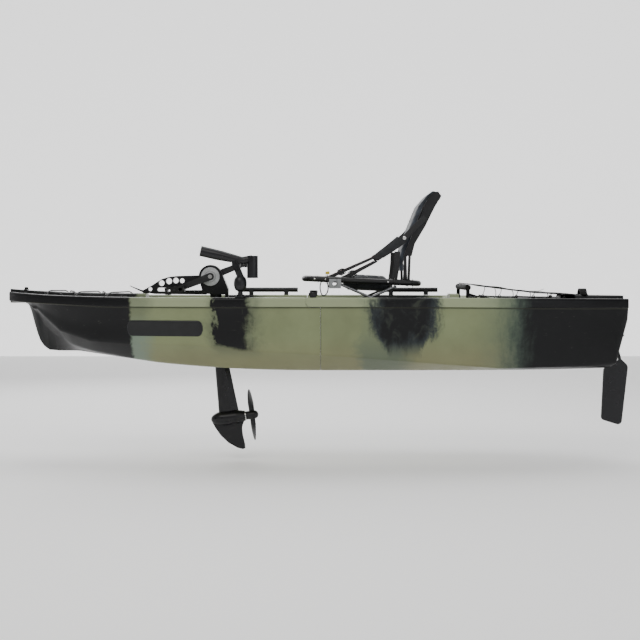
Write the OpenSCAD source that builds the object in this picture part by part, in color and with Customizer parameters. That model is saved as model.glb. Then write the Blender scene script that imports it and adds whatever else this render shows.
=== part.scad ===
// Two-section sit-on-top pedal kayak. +X points aft, +Z up, +Y to starboard, millimetres.
// The origin is on the keel's flat underside, at the after end of the bow section.

/* [Hull] */
// Bow tip to the joint between the two sections
bow_len = 1545; // [1200:5:1900]
// Joint between the two sections to the transom
stern_len = 1505; // [1200:5:1900]
// Width over the gunwales
beam = 840; // [700:5:1010]
// Keel to gunwale top amidships
depth = 360; // [300:5:440]
// Wall of the moulded shell
wall = 4; // [3:0.5:6]
// Half width of the bow tip
tip_half = 40; // [30:1:60]
// Half width of the transom
stern_half = 190; // [150:5:240]
// Rise of the gunwale towards the bow tip
bow_sheer = 23; // [0:1:60]
// Drop of the gunwale towards the transom
stern_drop = 10; // [0:1:30]
// Rise of the keel towards the bow
bow_rocker = 88; // [60:1:110]
// Half width of the bottom between its lower chines
chine_half = 270; // [220:5:300]
// Height of the rub band along the gunwale
band_h = 44; // [30:1:60]
// Overhang of the rub band over the side
band_out = 12; // [6:1:20]
// Width of the gunwale's flat top
gunwale_w = 55; // [40:1:70]

/* [Deck] */
// Footwell floor below the gunwale
floor_drop = 255; // [200:5:280]
// Side ledge below the gunwale
ledge_drop = 110; // [90:5:140]
// Centre console below the gunwale
console_drop = 160; // [130:5:190]
// Half width of the centre console
console_half = 75; // [65:1:90]
// Tank well floor below the gunwale
tank_drop = 140; // [100:5:180]
// After end of the bow deck, forward of the joint
bow_deck_x = 950; // [900:5:1000]
// After end of the cockpit, behind the joint
cockpit_x = 640; // [600:5:680]
// Forward end of the tank well, behind the joint
tank_x = 690; // [685:5:760]
// Length of the tank well
tank_len = 500; // [350:5:520]
// Radius of the scupper holes
scupper_r = 17; // [12:0.5:20]
// Inner radius of the flush rod tubes
rod_tube_r = 21; // [18:0.5:24]
// Depth of the flush rod tubes
rod_tube_len = 180; // [140:5:190]

/* [Section joint] */
// Length of the gunwale lips that lap over the bow section
lip_len = 66; // [50:1:90]
// Gap in the seam between the two sections
seam_gap = 3; // [1:0.5:5]
// Radius of the joint studs
stud_r = 5; // [4:0.5:6]
// Radius of the joint knobs
knob_r = 21; // [16:1:26]

/* [Pedal drive] */
// Crank axis forward of the joint
crank_x = 545; // [520:5:570]
// Crank axis above the gunwale
crank_rise = 98; // [85:1:125]
// Crank arm, axis to pedal spindle
crank_len = 180; // [165:1:190]
// Crank angle below the horizontal at rest
crank_angle = 21.5; // [10:0.5:30]
// Crank axis to propeller axis, along the upright shaft
drive_depth = 712; // [700:1:760]
// Rake of the upright shaft
drive_rake = 7; // [5:0.5:8]
// Radius of the gearcase
gearcase_r = 37; // [34:1:40]
// Half width of the drive well
well_half = 48; // [44:1:52]
// Radius of the propeller
prop_r = 130; // [110:1:140]
// Radius of the crank axle
axle_r = 10; // [8:0.5:12]
// Radius of the upright shaft
shaft_r = 6; // [5:0.5:7]
// Radius of the bolted side discs
disc_r = 46; // [40:1:52]

/* [Seat] */
// Front of the seat frame, forward of the joint
seat_front = 90; // [70:1:120]
// Length of the seat frame
seat_len = 584; // [520:1:620]
// Half width of the seat frame
seat_half = 230; // [200:1:240]
// Seat frame above the side ledges
seat_rise = 176; // [160:1:200]
// Radius of the seat frame tube
seat_tube_r = 14; // [11:0.5:16]
// Thickness of the seat cushion
cushion_t = 72; // [50:1:84]

/* [Rudder] */
// Thickness of the rudder blade
blade_t = 12; // [8:1:14]
// Depth of the rudder blade below its pivot
blade_depth = 330; // [260:5:400]
// Radius of the rudder pin
rudder_pin_r = 4; // [3:0.5:5]

/* [Rod holder] */
// Rod holder post forward of the joint
rod_x = 378; // [340:1:410]
// Radius of the bore that takes the rod butt
rod_bore_r = 19; // [16:0.5:21]
// Length of the cradle's rod tube
rod_len = 172; // [140:1:190]

/* [Hidden] */
$fn = 48;

// Clearances
seat_gap = 0.3;      // between pieces that rest on each other
run_gap = 0.05;      // radial gap of a pin or shaft in its bore
free_gap = 1.5;      // between pieces that pass each other
through = 20;        // how far a cutter reaches past what it cuts

// Driving places worked out from the sizes above
bow_end = 2;                          // after face of the bow section
stern_start = bow_end + seam_gap;     // forward face of the stern section
floor_z = depth - floor_drop;
ledge_z = depth - ledge_drop;
console_z = depth - console_drop;
tank_z = depth - tank_drop;
tank_end = tank_x + tank_len;
ramp = 14;                            // run of the steep walls between deck levels
pedestal_x = bow_deck_x - 88;         // after end of the arm's pedestal
console_end = 200;                    // after end of the console, forward of the joint
crown = 14;                           // rise of the decks above the gunwale
recess = 10;                          // side decks below the gunwale

// ---------------------------------------------------------------- hull form

// Position along the hull: -1 at the bow tip, 0 at the joint, 1 at the transom
function along(x) = x < 0 ? x / bow_len : x / stern_len;

function half_beam(x) = x < 0
    ? tip_half + (beam / 2 - tip_half) * pow(max(0, 1 - pow(-along(x), 3)), 0.85)
    : beam / 2 - (beam / 2 - stern_half) * pow(along(x), 3.1);

function gunwale_z(x) = depth
    + (x < 0 ? bow_sheer * pow(-along(x), 6) : -stern_drop * pow(along(x), 2));

function side_half(x) = half_beam(x) - band_out;
function band_z(x) = gunwale_z(x) - band_h;

// Stem and transom outlines: distance from the end, height as a share of the depth
stem = [[89, 0.908], [104, 0.786], [119, 0.625], [135, 0.472], [147, 0.386],
        [166, 0.311], [193, 0.256], [236, 0.247]];
transom = [[0, 0.66], [5, 0.61], [60, 0.07], [85, 0.028]];
stem_run = 236;
transom_run = 85;

function keel_line(x) = x < 0
    ? (x + bow_len < stem_run ? depth * lookup(x + bow_len, stem)
        : min(bow_rocker, bow_rocker * pow(-along(x) / 0.777, 2.1)))
    : (stern_len - x < transom_run ? depth * lookup(stern_len - x, transom)
        : 0.028 * depth * pow(along(x), 5));
function keel_z(x) = min(keel_line(x), band_z(x) - 4);
function keel_half(x) = lookup(along(x), [[-0.95, 5], [-0.85, 8], [-0.6, 60], [1, 60]]);

// Lower chine: distance from the bow tip, height as a share of the depth
chine = [[103, 0.894], [151, 0.761], [178, 0.644], [216, 0.542], [270, 0.444],
         [325, 0.353], [379, 0.303], [433, 0.264], [600, 0.18], [800, 0.1], [1100, 0]];
function chine_z(x) =
    min(band_z(x) - 3, max(keel_z(x) + 6, depth * lookup(x + bow_len, chine)));
function chine_y(x) = x < 0
    ? max(0.35 * side_half(x),
        chine_half * pow(max(0, 1 - pow(-x / (bow_len - 95), 3)), 0.8))
    : chine_half * pow(half_beam(x) / half_beam(0), 0.7);

// Bilge crease: position along the hull, height as a share of the depth
crease = [[-0.902, 0.833], [-0.825, 0.55], [-0.72, 0.42], [-0.58, 0.39], [-0.39, 0.375],
          [-0.246, 0.305], [0, 0.25], [0.25, 0.17], [0.57, 0.06], [0.86, 0.07], [1, 0.1]];
crease_share = [[-1, 0.7], [-0.9, 0.75], [-0.7, 0.88], [-0.4, 0.95], [0.3, 0.95], [1, 0.92]];
function crease_z(x) =
    min(band_z(x) - 2, max(chine_z(x) + 4, depth * lookup(along(x), crease)));
function crease_y(x) = side_half(x) * lookup(along(x), crease_share);
function flare(x) = lookup(along(x), [[-1, 1], [-0.9, 12], [-0.7, 12], [-0.45, 0]]);

// Deck levels: 0 is deck height and 1 the full drop of the cockpit or tank well
function in_cockpit(x, start) = lookup(x, [[start, 0], [start + ramp, 1],
    [cockpit_x - ramp, 1], [cockpit_x, 0]]);
function in_tank(x) = lookup(x, [[tank_x, 0], [tank_x + ramp, 1],
    [tank_end - ramp, 1], [tank_end, 0]]);
function mix(a, b, t) = a + (b - a) * t;

function side_deck_z(x) = mix(gunwale_z(x) - recess, ledge_z, in_cockpit(x, -bow_deck_x));
function floor_top(x) = mix(mix(gunwale_z(x) - recess / 2, floor_z,
    in_cockpit(x, -bow_deck_x)), tank_z, in_tank(x));
function console_top(x) = lookup(x, [[-console_end, console_z], [-console_end + ramp, floor_z]]);
function centre_top(x) = mix(mix(gunwale_z(x) + crown, console_top(x),
    in_cockpit(x, -pedestal_x)), tank_z, in_tank(x));

function gunwale_in(x) = half_beam(x) - min(gunwale_w, 0.45 * half_beam(x));
function ledge_out(x) = gunwale_in(x) - min(25, 0.15 * gunwale_in(x));
function ledge_in(x) = min(240, 0.8 * ledge_out(x));
function floor_out(x) = ledge_in(x) - min(12, 0.05 * ledge_in(x));
function console_foot(x) = min(console_half + 10, 0.45 * gunwale_in(x));
function console_edge(x) = min(console_half, 0.38 * gunwale_in(x));

// Height of the deck, ledge, floor or console at a point
function deck_z(x, y) = lookup(abs(y), [[0, centre_top(x)], [console_edge(x), centre_top(x)],
    [console_foot(x), floor_top(x)], [floor_out(x), floor_top(x)],
    [ledge_in(x), side_deck_z(x)], [ledge_out(x), side_deck_z(x)],
    [gunwale_in(x), gunwale_z(x)], [half_beam(x), gunwale_z(x)]]);

// Right half of the outer section, from the keel up the side and in over the deck
function outer_half(x) = [
    [keel_half(x), keel_z(x)], [chine_y(x), chine_z(x)], [crease_y(x), crease_z(x)],
    [(crease_y(x) + side_half(x)) / 2 - flare(x), (crease_z(x) + band_z(x)) / 2],
    [side_half(x), band_z(x)], [half_beam(x), band_z(x)],
    [half_beam(x), gunwale_z(x) - 8], [half_beam(x) - 6, gunwale_z(x)],
    [gunwale_in(x), gunwale_z(x)], [ledge_out(x), side_deck_z(x)],
    [ledge_in(x), side_deck_z(x)], [floor_out(x), floor_top(x)],
    [console_foot(x), floor_top(x)], [console_edge(x), centre_top(x)]];

// Lowest place for the hollow at x, clear of a line that rises towards either end
function above(line, x) = max(line(x - 1.3 * wall), line(x + 1.3 * wall)) + wall;

// Right half of the hollow inside the shell, one wall in from the outer section
function inner_half(x) = [
    [keel_half(x), above(function (t) keel_z(t), x)],
    [chine_y(x) - wall, above(function (t) chine_z(t), x)],
    [crease_y(x) - wall, above(function (t) crease_z(t), x)],
    [(crease_y(x) + side_half(x)) / 2 - flare(x) - wall, (crease_z(x) + band_z(x)) / 2],
    [side_half(x) - wall, band_z(x)], [side_half(x) - wall, gunwale_z(x) - wall],
    [gunwale_in(x) + wall, gunwale_z(x) - wall],
    [ledge_out(x) + wall, side_deck_z(x) - wall],
    [ledge_in(x) + wall, side_deck_z(x) - wall],
    [floor_out(x) + wall, floor_top(x) - wall],
    [console_foot(x) - wall, floor_top(x) - wall],
    [console_edge(x) - wall, centre_top(x) - wall]];

// Stations where the section changes
bow_stations = [-bow_len, -bow_len + 35, -bow_len + 65, -bow_len + 89, -bow_len + 104,
    -bow_len + 125, -bow_len + 147, -bow_len + 170, -bow_len + 200, -bow_len + 245,
    -bow_len * 0.78, -bow_len * 0.7, -bow_deck_x, -bow_deck_x + ramp, -pedestal_x,
    -pedestal_x + ramp, -720, -600, -420, -console_end, -console_end + ramp, -lip_len, bow_end];
stern_stations = [-lip_len - 5, stern_start, 150, 380, cockpit_x - ramp, cockpit_x, tank_x,
    tank_x + ramp, 860, 1030, tank_end - ramp, tank_end, stern_len * 0.86,
    stern_len - 100, stern_len - transom_run, stern_len - 60, stern_len - 30,
    stern_len - 5, stern_len];
hollow_bow = concat([-bow_len + 150], [for (x = bow_stations)
    if (x > -bow_len + 160 && x < bow_end - wall) x + (x == -bow_deck_x
        || x == -pedestal_x ? -wall : 0)], [bow_end - wall]);
hollow_stern = concat([stern_start + wall], [for (x = stern_stations)
    if (x > stern_start + wall && x < stern_len - 10) x], [stern_len - 10]);

// Triangles that close one end: strips between the outside and the deck, then their mirror
function end_faces(h) = let (half = concat(
        [for (i = [0 : 3]) each [[i, i + 1, h - 2 - i], [i, h - 2 - i, h - 1 - i]]],
        [for (i = [5 : h - 6]) [4, i, i + 1]]))
    concat(half, [for (f = half) [for (k = [2 : -1 : 0]) 2 * h - 1 - f[k]]],
        [[0, h - 1, h], [0, h, 2 * h - 1]]);

// Closed solid swept through half sections, mirrored about the centre plane
module sweep_halves(xs, halves) {
    ends = end_faces(len(halves[0]));
    rings = [for (h = halves) concat(h, [for (i = [len(h) - 1 : -1 : 0]) [-h[i][0], h[i][1]]])];
    n = len(rings[0]);
    last = (len(xs) - 1) * n;
    points = [for (i = [0 : len(xs) - 1]) for (p = rings[i]) [xs[i], p[0], p[1]]];
    sides = [for (i = [0 : len(xs) - 2]) for (j = [0 : n - 1])
        let (a = i * n + j, b = i * n + (j + 1) % n) each [[a, a + n, b + n], [a, b + n, b]]];
    polyhedron(points, concat(ends, [for (f = ends) [for (k = [2 : -1 : 0]) last + f[k]]],
        sides), convexity = 10);
}
module outer_hull(xs) { sweep_halves(xs, [for (x = xs) outer_half(x)]); }
module hollow(xs) { sweep_halves(xs, [for (x = xs) inner_half(x)]); }

// ------------------------------------------------------------ shared shapes

// Outline in the XZ plane, extruded across the hull about the plane at y
module slab(y, width) {
    translate([0, y + width / 2, 0]) rotate([90, 0, 0]) linear_extrude(width) children();
}
// Cylinder across the hull, centred on y
module cross_bar(x, y, z, r, width) {
    translate([x, y + width / 2, z]) rotate([90, 0, 0]) cylinder(r = r, h = width);
}
// Round bar between two points
module bar(a, b, r) {
    d = b - a;
    translate(a) rotate([0, acos(d[2] / norm(d)), atan2(d[1], d[0])]) cylinder(r = r, h = norm(d));
}
// Slot outline, rounded at both ends
module long_hole(x0, x1, half) {
    translate([x0 + half, -half]) square([x1 - x0 - 2 * half, 2 * half]);
    for (x = [x0 + half, x1 - half]) translate([x, 0]) circle(r = half);
}
// Round cord swept through points, as one closed tube with a ring of sides
module cord(points, r, sides = 8) {
    n = len(points);
    dirs = [for (i = [0 : n - 1]) let (d = points[min(i + 1, n - 1)] - points[max(i - 1, 0)])
        d / norm(d)];
    rings = [for (i = [0 : n - 1]) let (t = dirs[i], u0 = cross([0, 0, 1], t),
        u = u0 / norm(u0), v = cross(t, u))
        for (k = [0 : sides - 1]) points[i] + r * (cos(360 * k / sides) * u
            + sin(360 * k / sides) * v)];
    faces = concat([[for (k = [sides - 1 : -1 : 0]) k]],
        [[for (k = [0 : sides - 1]) (n - 1) * sides + k]],
        [for (i = [0 : n - 2]) for (k = [0 : sides - 1])
            let (a = i * sides + k, b = i * sides + (k + 1) % sides)
            each [[a, b, b + sides], [a, b + sides, a + sides]]]);
    polyhedron(rings, [for (f = faces) [for (k = [len(f) - 1 : -1 : 0]) f[k]]], convexity = 6);
}

// Round tube swept round a closed loop of points that lie near one level plane
module tube_loop(points, r, sides = 16) {
    n = len(points);
    rings = [for (i = [0 : n - 1])
        let (d = points[(i + 1) % n] - points[(i + n - 1) % n], t = d / norm(d),
            u0 = cross([0, 0, 1], t), u = u0 / norm(u0), v = cross(t, u))
        for (k = [0 : sides - 1]) points[i] + r * (cos(360 * k / sides) * u
            + sin(360 * k / sides) * v)];
    polyhedron(rings, [for (i = [0 : n - 1]) for (k = [0 : sides - 1])
        let (a = i * sides + k, b = i * sides + (k + 1) % sides,
            c = ((i + 1) % n) * sides + (k + 1) % sides, d = ((i + 1) % n) * sides + k)
        each [[a, c, b], [a, d, c]]], convexity = 6);
}

// -------------------------------------------------------------- the sections

lip_z = band_z(0);                     // underside of the gunwale lips
lip_corner = 20;                       // radius of the seam's rounded corner
stud_x = -lip_len / 2;
stud_y = half_beam(stud_x) - gunwale_w / 2;
boss_r = 16;
scuppers_bow = [[-650, 160], [-650, -160]];
scuppers_stern = [[430, 160], [430, -160], [1010, 140], [1010, -140]];
rod_tube_places = [[790, 1], [790, -1]];
rod_tube_tilt = 18;
rod_tube_y = (ledge_in(790) + ledge_out(790)) / 2;
tube_wall = 3;

// Region of the stern section's lips, grown by a gap for the bow section's notch
module lip_outline(grow) {
    translate([-lip_len - grow, lip_z - grow]) difference() {
        square([lip_len + grow + stern_start + through, band_h + grow + through]);
        difference() {
            translate([-through, -through]) square(through + lip_corner);
            translate([lip_corner, lip_corner]) circle(r = lip_corner);
        }
    }
}
// Drive well, from the bottom up through the console
well_front = crank_x + 30;
well_back = crank_x - 260;
module drive_well(grow) {
    translate([0, 0, -through]) linear_extrude(console_z + 2 * through)
        long_hole(-well_front - grow, -well_back + grow, well_half + grow);
}
module scupper_holes(places, r) {
    for (p = places) translate([p[0], p[1], -through]) cylinder(r = r, h = depth);
}
module at_studs() {
    for (side = [-1, 1]) translate([stud_x, side * stud_y, 0]) children();
}
module at_rod_tubes() {
    for (p = rod_tube_places)
        translate([p[0], p[1] * rod_tube_y, side_deck_z(p[0])])
            rotate([0, rod_tube_tilt, 0]) children();
}

module bow_section() color("darkkhaki") {
    difference() {
        outer_hull(bow_stations);
        difference() {
            hollow(hollow_bow);
            slab(0, beam) lip_outline(seat_gap + wall);
            at_studs() cylinder(r = boss_r, h = depth);
            drive_well(wall);
            scupper_holes(scuppers_bow, scupper_r + wall);
        }
        slab(0, beam + 2 * through) difference() {
            lip_outline(seat_gap);
            translate([bow_end + 0.001, 0]) square([100, depth * 2]);
        }
        at_studs() translate([0, 0, lip_z - 34]) cylinder(r = stud_r + run_gap, h = 100);
        drive_well(0);
        scupper_holes(scuppers_bow, scupper_r);
    }
}

// The steering axis runs parallel to the transom's slant, just behind it
slant = atan2(60 - 5, (0.61 - 0.07) * depth);
axis_gap = 11;
function transom_x(z) = stern_len - lookup(z / depth, [[0.07, 60], [0.61, 5]]);
steer_foot = [transom_x(90) + axis_gap / cos(slant), 0, 90];
knuckle_r = rudder_pin_r + 3.5;
knuckle_h = 17;
module on_steer_axis(h = 0) {
    translate(steer_foot) rotate([0, slant, 0]) translate([0, 0, h]) children();
}
lower_knuckle = 6;
head_knuckle = lower_knuckle + knuckle_h + seat_gap;
head_h = 34;
upper_knuckle = head_knuckle + head_h + seat_gap;
drum_h = upper_knuckle + knuckle_h + seat_gap;   // underside of the drum's collar
collar_h = 3.2;
drum_r = 25;
drum_t = 8;
drum_mid = steer_foot + (drum_h + collar_h + drum_t / 2) * [sin(slant), 0, cos(slant)];
// Pocket in the transom for the rudder's line drum
pocket_half = 40;
pocket_deep = 46;
pocket_h = 18;
pocket_z = steer_foot[2] + (drum_h + collar_h) * cos(slant) + axis_gap * sin(slant) - free_gap;
module rudder_pocket(grow) {
    translate([stern_len - pocket_deep - grow, -pocket_half - grow, pocket_z - grow])
        cube([pocket_deep + 2 * through, 2 * (pocket_half + grow), pocket_h + 2 * grow]);
}
plug_z = 290;
plug_y = 110;

module stern_section() color("darkkhaki") {
    difference() {
        outer_hull(stern_stations);
        difference() {
            hollow(hollow_stern);
            rudder_pocket(wall);
            scupper_holes(scuppers_stern, scupper_r + wall);
        }
        slab(0, beam + 2 * through) difference() {
            translate([-lip_len - through, -through])
                square([lip_len + through + stern_start, depth * 2]);
            lip_outline(0);
        }
        at_studs() {
            translate([0, 0, lip_z - 10]) cylinder(r = stud_r + free_gap, h = 100);
            translate([-lip_len, -stud_r - free_gap, lip_z - 10])
                cube([lip_len, 2 * (stud_r + free_gap), 100]);
        }
        rudder_pocket(0);
        scupper_holes(scuppers_stern, scupper_r);
        at_rod_tubes() translate([0, 0, -60])
            cylinder(r = rod_tube_r + tube_wall + seat_gap, h = 120);
    }
}

// ---------------------------------------------------------- joint hardware

knob_h = 24;
knob_z = gunwale_z(0) + seat_gap;
stud_top = knob_z + 16;
module joint_studs() color("silver") {
    at_studs() {
        translate([0, 0, lip_z - 32]) cylinder(r = stud_r, h = stud_top - lip_z + 32);
    }
}
// Hand knob with six lobes, its washer foot and its blind threaded bore
module hand_knob(r, h, bore_r, bore_h) {
    difference() {
        union() {
            cylinder(r = 0.75 * r, h = h * 0.3);
            translate([0, 0, h * 0.3]) cylinder(r = r * 0.86, h = h * 0.7);
            for (a = [0 : 60 : 300]) rotate([0, 0, a]) translate([r * 0.72, 0, h * 0.36])
                cylinder(r = r * 0.28, h = h * 0.56);
        }
        translate([0, 0, -1]) cylinder(r = bore_r, h = bore_h + 1);
    }
}
module joint_knob(side) {
    translate([stud_x, side * stud_y, knob_z])
        hand_knob(knob_r, knob_h, stud_r + run_gap, stud_top - knob_z + 1);
}
module joint_knob_port() color("dimgray") joint_knob(-1);
module joint_knob_starboard() color("dimgray") joint_knob(1);

// Low carrying handle that arches across the deck
module arch_handle(x, span, rise, width, r) {
    big = (span * span / 4 + rise * rise) / (2 * rise);
    z = deck_z(x - width / 2 - 2, 0) + seat_gap;
    translate([x - width / 2, 0, z + rise - big]) rotate([90, 0, 90]) difference() {
        linear_extrude(width) difference() {
            circle(r = big, $fn = 96);
            circle(r = big - r, $fn = 96);
            translate([-big - 1, -big - 1]) square([2 * big + 2, 2 * big + 1 - rise]);
        }
    }
    for (side = [-1, 1]) translate([x, side * (span / 2 + 6), z])
        cylinder(r = width / 2 + 2, h = 4);
}
bow_handle_x = -bow_len + 78;
stern_handle_x = stern_len - 195;
module bow_handle() color("black") arch_handle(bow_handle_x, 28, 14, 14, 5);
module stern_handle() color("black") arch_handle(stern_handle_x, 110, 32, 34, 9);

// --------------------------------------------------------- bungees on deck

bungee_r = 3.2;
eye_ring_r = 6;
eye_wire_r = 2;
eye_z = 1.5 + eye_ring_r + eye_wire_r;       // middle of the ring above the deck
// Zigzag of eyes: along x, from side to side at a share of the side deck
function eye_y(x) = ledge_out(x) - 14;
function eye_deck(x) = deck_z(x - 10, ledge_in(x - 10) + 1) + seat_gap;
bow_eyes = [for (i = [0 : 5]) [-bow_len + 195 + 78 * i, i % 2 == 0 ? -1 : 1]];
stern_eyes = [for (i = [0 : 5]) [tank_x + (i == 0 ? 32 : 70 + 85 * i), i % 2 == 0 ? -1 : 1]];
module pad_eyes(eyes) {
    for (e = eyes) for (side = [-1, 1])
        translate([e[0], side * eye_y(e[0]), eye_deck(e[0])]) {
            cylinder(r = 8.5, h = 2.5);
            translate([0, 0, eye_z]) rotate([0, 90, 90])
                rotate_extrude() translate([eye_ring_r, 0]) circle(r = eye_wire_r, $fn = 24);
        }
}
// Cord pulled from eye to eye, lifted clear of a raised deck under it
function eye_point(e) = [e[0], e[1] * eye_y(e[0]), eye_deck(e[0]) + eye_z];
steps = 8;
function bungee_route(eyes, lift) = concat([for (i = [0 : len(eyes) - 2])
    let (a = eye_point(eyes[i]), b = eye_point(eyes[i + 1]))
    for (k = [0 : steps - 1]) let (t = k / steps, p = a + (b - a) * t,
        hump = lift * min(1, 1.6 * sin(180 * t))) [p[0], p[1], p[2] + hump]],
    [eye_point(eyes[len(eyes) - 1])]);
module bow_pad_eyes() color("black") pad_eyes(bow_eyes);
module stern_pad_eyes() color("black") pad_eyes(stern_eyes);
module bow_bungee() color("black") cord(bungee_route(bow_eyes, crown + recess), bungee_r);
module stern_bungee() color("black") cord(bungee_route(stern_eyes, 0), bungee_r);

// ------------------------------------------------- rails along the starboard

rail_r = 12;
rail_len = 306;
rail_rise = 27;                        // bar's axis above the gunwale
rail_inset = 30;                       // from the gunwale's outer edge
bow_rail_x = -422;
stern_rail_x = 311;
function rail_y(x) = half_beam(x + rail_len / 2) - rail_inset;
module side_rail(x) {
    z = gunwale_z(x) + rail_rise;
    translate([x, rail_y(x), z]) rotate([0, 90, 0]) difference() {
        cylinder(r = rail_r, h = rail_len);
        translate([0, 0, 4]) cylinder(r = rail_r - 3, h = rail_len - 8);
    }
}
module rail_saddles(x) {
    z = gunwale_z(x) + seat_gap;
    for (dx = [rail_len * 0.2, rail_len * 0.8])
        difference() {
            translate([x + dx - 11, rail_y(x) - 14, z])
                cube([22, 28, rail_rise + 4]);
            translate([x + dx - 12, rail_y(x), gunwale_z(x) + rail_rise]) rotate([0, 90, 0])
                cylinder(r = rail_r + run_gap, h = 24);
        }
}
module bow_side_rail() color("black") side_rail(bow_rail_x);
module stern_side_rail() color("black") side_rail(stern_rail_x);
module bow_rail_saddles() color("dimgray") rail_saddles(bow_rail_x);
module stern_rail_saddles() color("dimgray") rail_saddles(stern_rail_x);

// ------------------------------------------------------------ cargo storage

cover_half = 236;
cover_t = 5;
cover_bar_x = tank_x + 24;
cover_bar_z = depth + 46;
cover_end_x = tank_end + 70;
cover_post_y = ledge_in(cover_bar_x) + 12;
module cover_bar() color("black") {
    for (side = [-1, 1]) {
        foot = [cover_bar_x, side * cover_post_y, side_deck_z(cover_bar_x) + seat_gap];
        bar(foot, [cover_bar_x, side * cover_post_y, cover_bar_z], 9);
        translate(foot) cylinder(r = 11.5, h = 5);
    }
    cross_bar(cover_bar_x, 0, cover_bar_z, 14, 2 * cover_post_y + 22);
}
module cargo_cover() color("dimgray") {
    slab(0, 2 * cover_half - 40) polygon(concat(
        [[cover_bar_x, cover_bar_z + 14 + seat_gap + cover_t],
         [cover_bar_x, cover_bar_z + 14 + seat_gap],
         [cover_bar_x + 16, cover_bar_z + 13]],
        [[tank_end - 130, gunwale_z(tank_end) + 24],
         [cover_end_x, deck_z(cover_end_x, 0) + seat_gap],
         [cover_end_x, deck_z(cover_end_x, 0) + seat_gap + cover_t],
         [tank_end - 130, gunwale_z(tank_end) + 24 + cover_t],
         [cover_bar_x + 18, cover_bar_z + 18]]));
}
module rod_tubes() color("black") {
    at_rod_tubes() difference() {
        union() {
            translate([0, 0, -rod_tube_len - 4])
                cylinder(r = rod_tube_r + tube_wall, h = rod_tube_len + 21);
            translate([0, 0, 12]) cylinder(r = rod_tube_r + 12, h = 5);
        }
        translate([0, 0, -rod_tube_len]) cylinder(r = rod_tube_r, h = rod_tube_len + 40);
    }
}
module drain_plug() color("black") {
    translate([stern_len + seat_gap, plug_y, plug_z]) rotate([0, 90, 0]) {
        cylinder(r = 14, h = 3);
        cylinder(r = 8, h = 7, $fn = 6);
    }
}

// ------------------------------------------------------------------- rudder

module rudder_gudgeons() color("dimgray") {
    for (h = [lower_knuckle, upper_knuckle]) on_steer_axis(h) difference() {
        union() {
            cylinder(r = knuckle_r, h = knuckle_h);
            translate([-axis_gap + seat_gap, -3, 0]) cube([axis_gap - 2, 6, knuckle_h]);
            translate([-axis_gap + seat_gap, -16, 0]) cube([3, 32, knuckle_h]);
        }
        translate([0, 0, -1]) cylinder(r = rudder_pin_r + run_gap, h = knuckle_h + 2);
    }
}
module rudder_pin() color("silver") {
    on_steer_axis(lower_knuckle - 4)
        cylinder(r = rudder_pin_r, h = drum_h + collar_h + drum_t - lower_knuckle + 4);
    on_steer_axis(lower_knuckle - 7 + seat_gap / 2) cylinder(r = rudder_pin_r + 2, h = 6.5);
}
// Blade pivot and its cheeks
pivot = [1482, 0, 46];
cheek_in = knuckle_r + 1.2;
cheek_t = 4;
bolt_r = 4;
module blade_outline() {
    translate([pivot[0], pivot[2]]) circle(r = 24);
    hull() {
        translate([pivot[0] + 30, pivot[2] - 45]) circle(r = 28);
        translate([pivot[0] - 56, pivot[2] - 56]) circle(r = 8);
        translate([pivot[0] - 56, pivot[2] + 40 - blade_depth]) circle(r = 18);
        translate([pivot[0] + 10, pivot[2] + 22 - blade_depth]) circle(r = 20);
        translate([pivot[0] + 6, pivot[2] - 10]) circle(r = 20);
    }
}
module rudder_head() color("dimgray") {
    difference() {
        union() {
            on_steer_axis(head_knuckle) cylinder(r = knuckle_r, h = head_h);
            slab(0, 2 * (cheek_in + cheek_t)) polygon([
                [steer_foot[0] + 6, steer_foot[2] - 22], [steer_foot[0] + 12, steer_foot[2] + 50],
                [steer_foot[0] + 20, steer_foot[2] + 50], [steer_foot[0] + 19, steer_foot[2]],
                [pivot[0] + 22, pivot[2] + 10], [pivot[0] + 20, pivot[2] - 12],
                [pivot[0] - 12, pivot[2] - 14], [pivot[0] - 12, pivot[2] + 8]]);
            on_steer_axis(head_knuckle) translate([0, -5, 0]) cube([14, 10, head_h]);
        }
        translate([0, 0, pivot[2] - 40]) slab(0, 2 * cheek_in)
            translate([pivot[0] - 60, 0]) square([120, 62 + 40]);
        on_steer_axis(lower_knuckle - 30) cylinder(r = cheek_in, h = 30 + knuckle_h + seat_gap);
        on_steer_axis(head_knuckle - 60) cylinder(r = rudder_pin_r + run_gap, h = 200);
        cross_bar(pivot[0], 0, pivot[2], bolt_r + run_gap, 60);
    }
    on_steer_axis(drum_h) difference() {
        union() {
            cylinder(r = knuckle_r, h = collar_h);
            translate([0, 0, collar_h]) cylinder(r = drum_r, h = drum_t);
        }
        translate([0, 0, -1]) cylinder(r = rudder_pin_r + run_gap, h = collar_h + drum_t + 2);
    }
}
module rudder_blade() color("black") {
    difference() {
        slab(0, blade_t) blade_outline();
        cross_bar(pivot[0], 0, pivot[2], bolt_r + run_gap, blade_t + 2);
    }
}
module blade_bolt() color("silver") {
    half = cheek_in + cheek_t + seat_gap;
    cross_bar(pivot[0], 0, pivot[2], bolt_r, 2 * half + 4);
    for (side = [-1, 1]) translate([pivot[0], side * half, pivot[2]])
        rotate([-90 * side, 0, 0]) cylinder(r = 8, h = 5, $fn = 6);
}
line_r = 1.5;
module rudder_lines() color("black") {
    y = drum_r + line_r + seat_gap;
    for (side = [-1, 1]) bar([stern_len - pocket_deep + seat_gap, side * y, drum_mid[2]],
        [drum_mid[0], side * y, drum_mid[2]], line_r);
}
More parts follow.
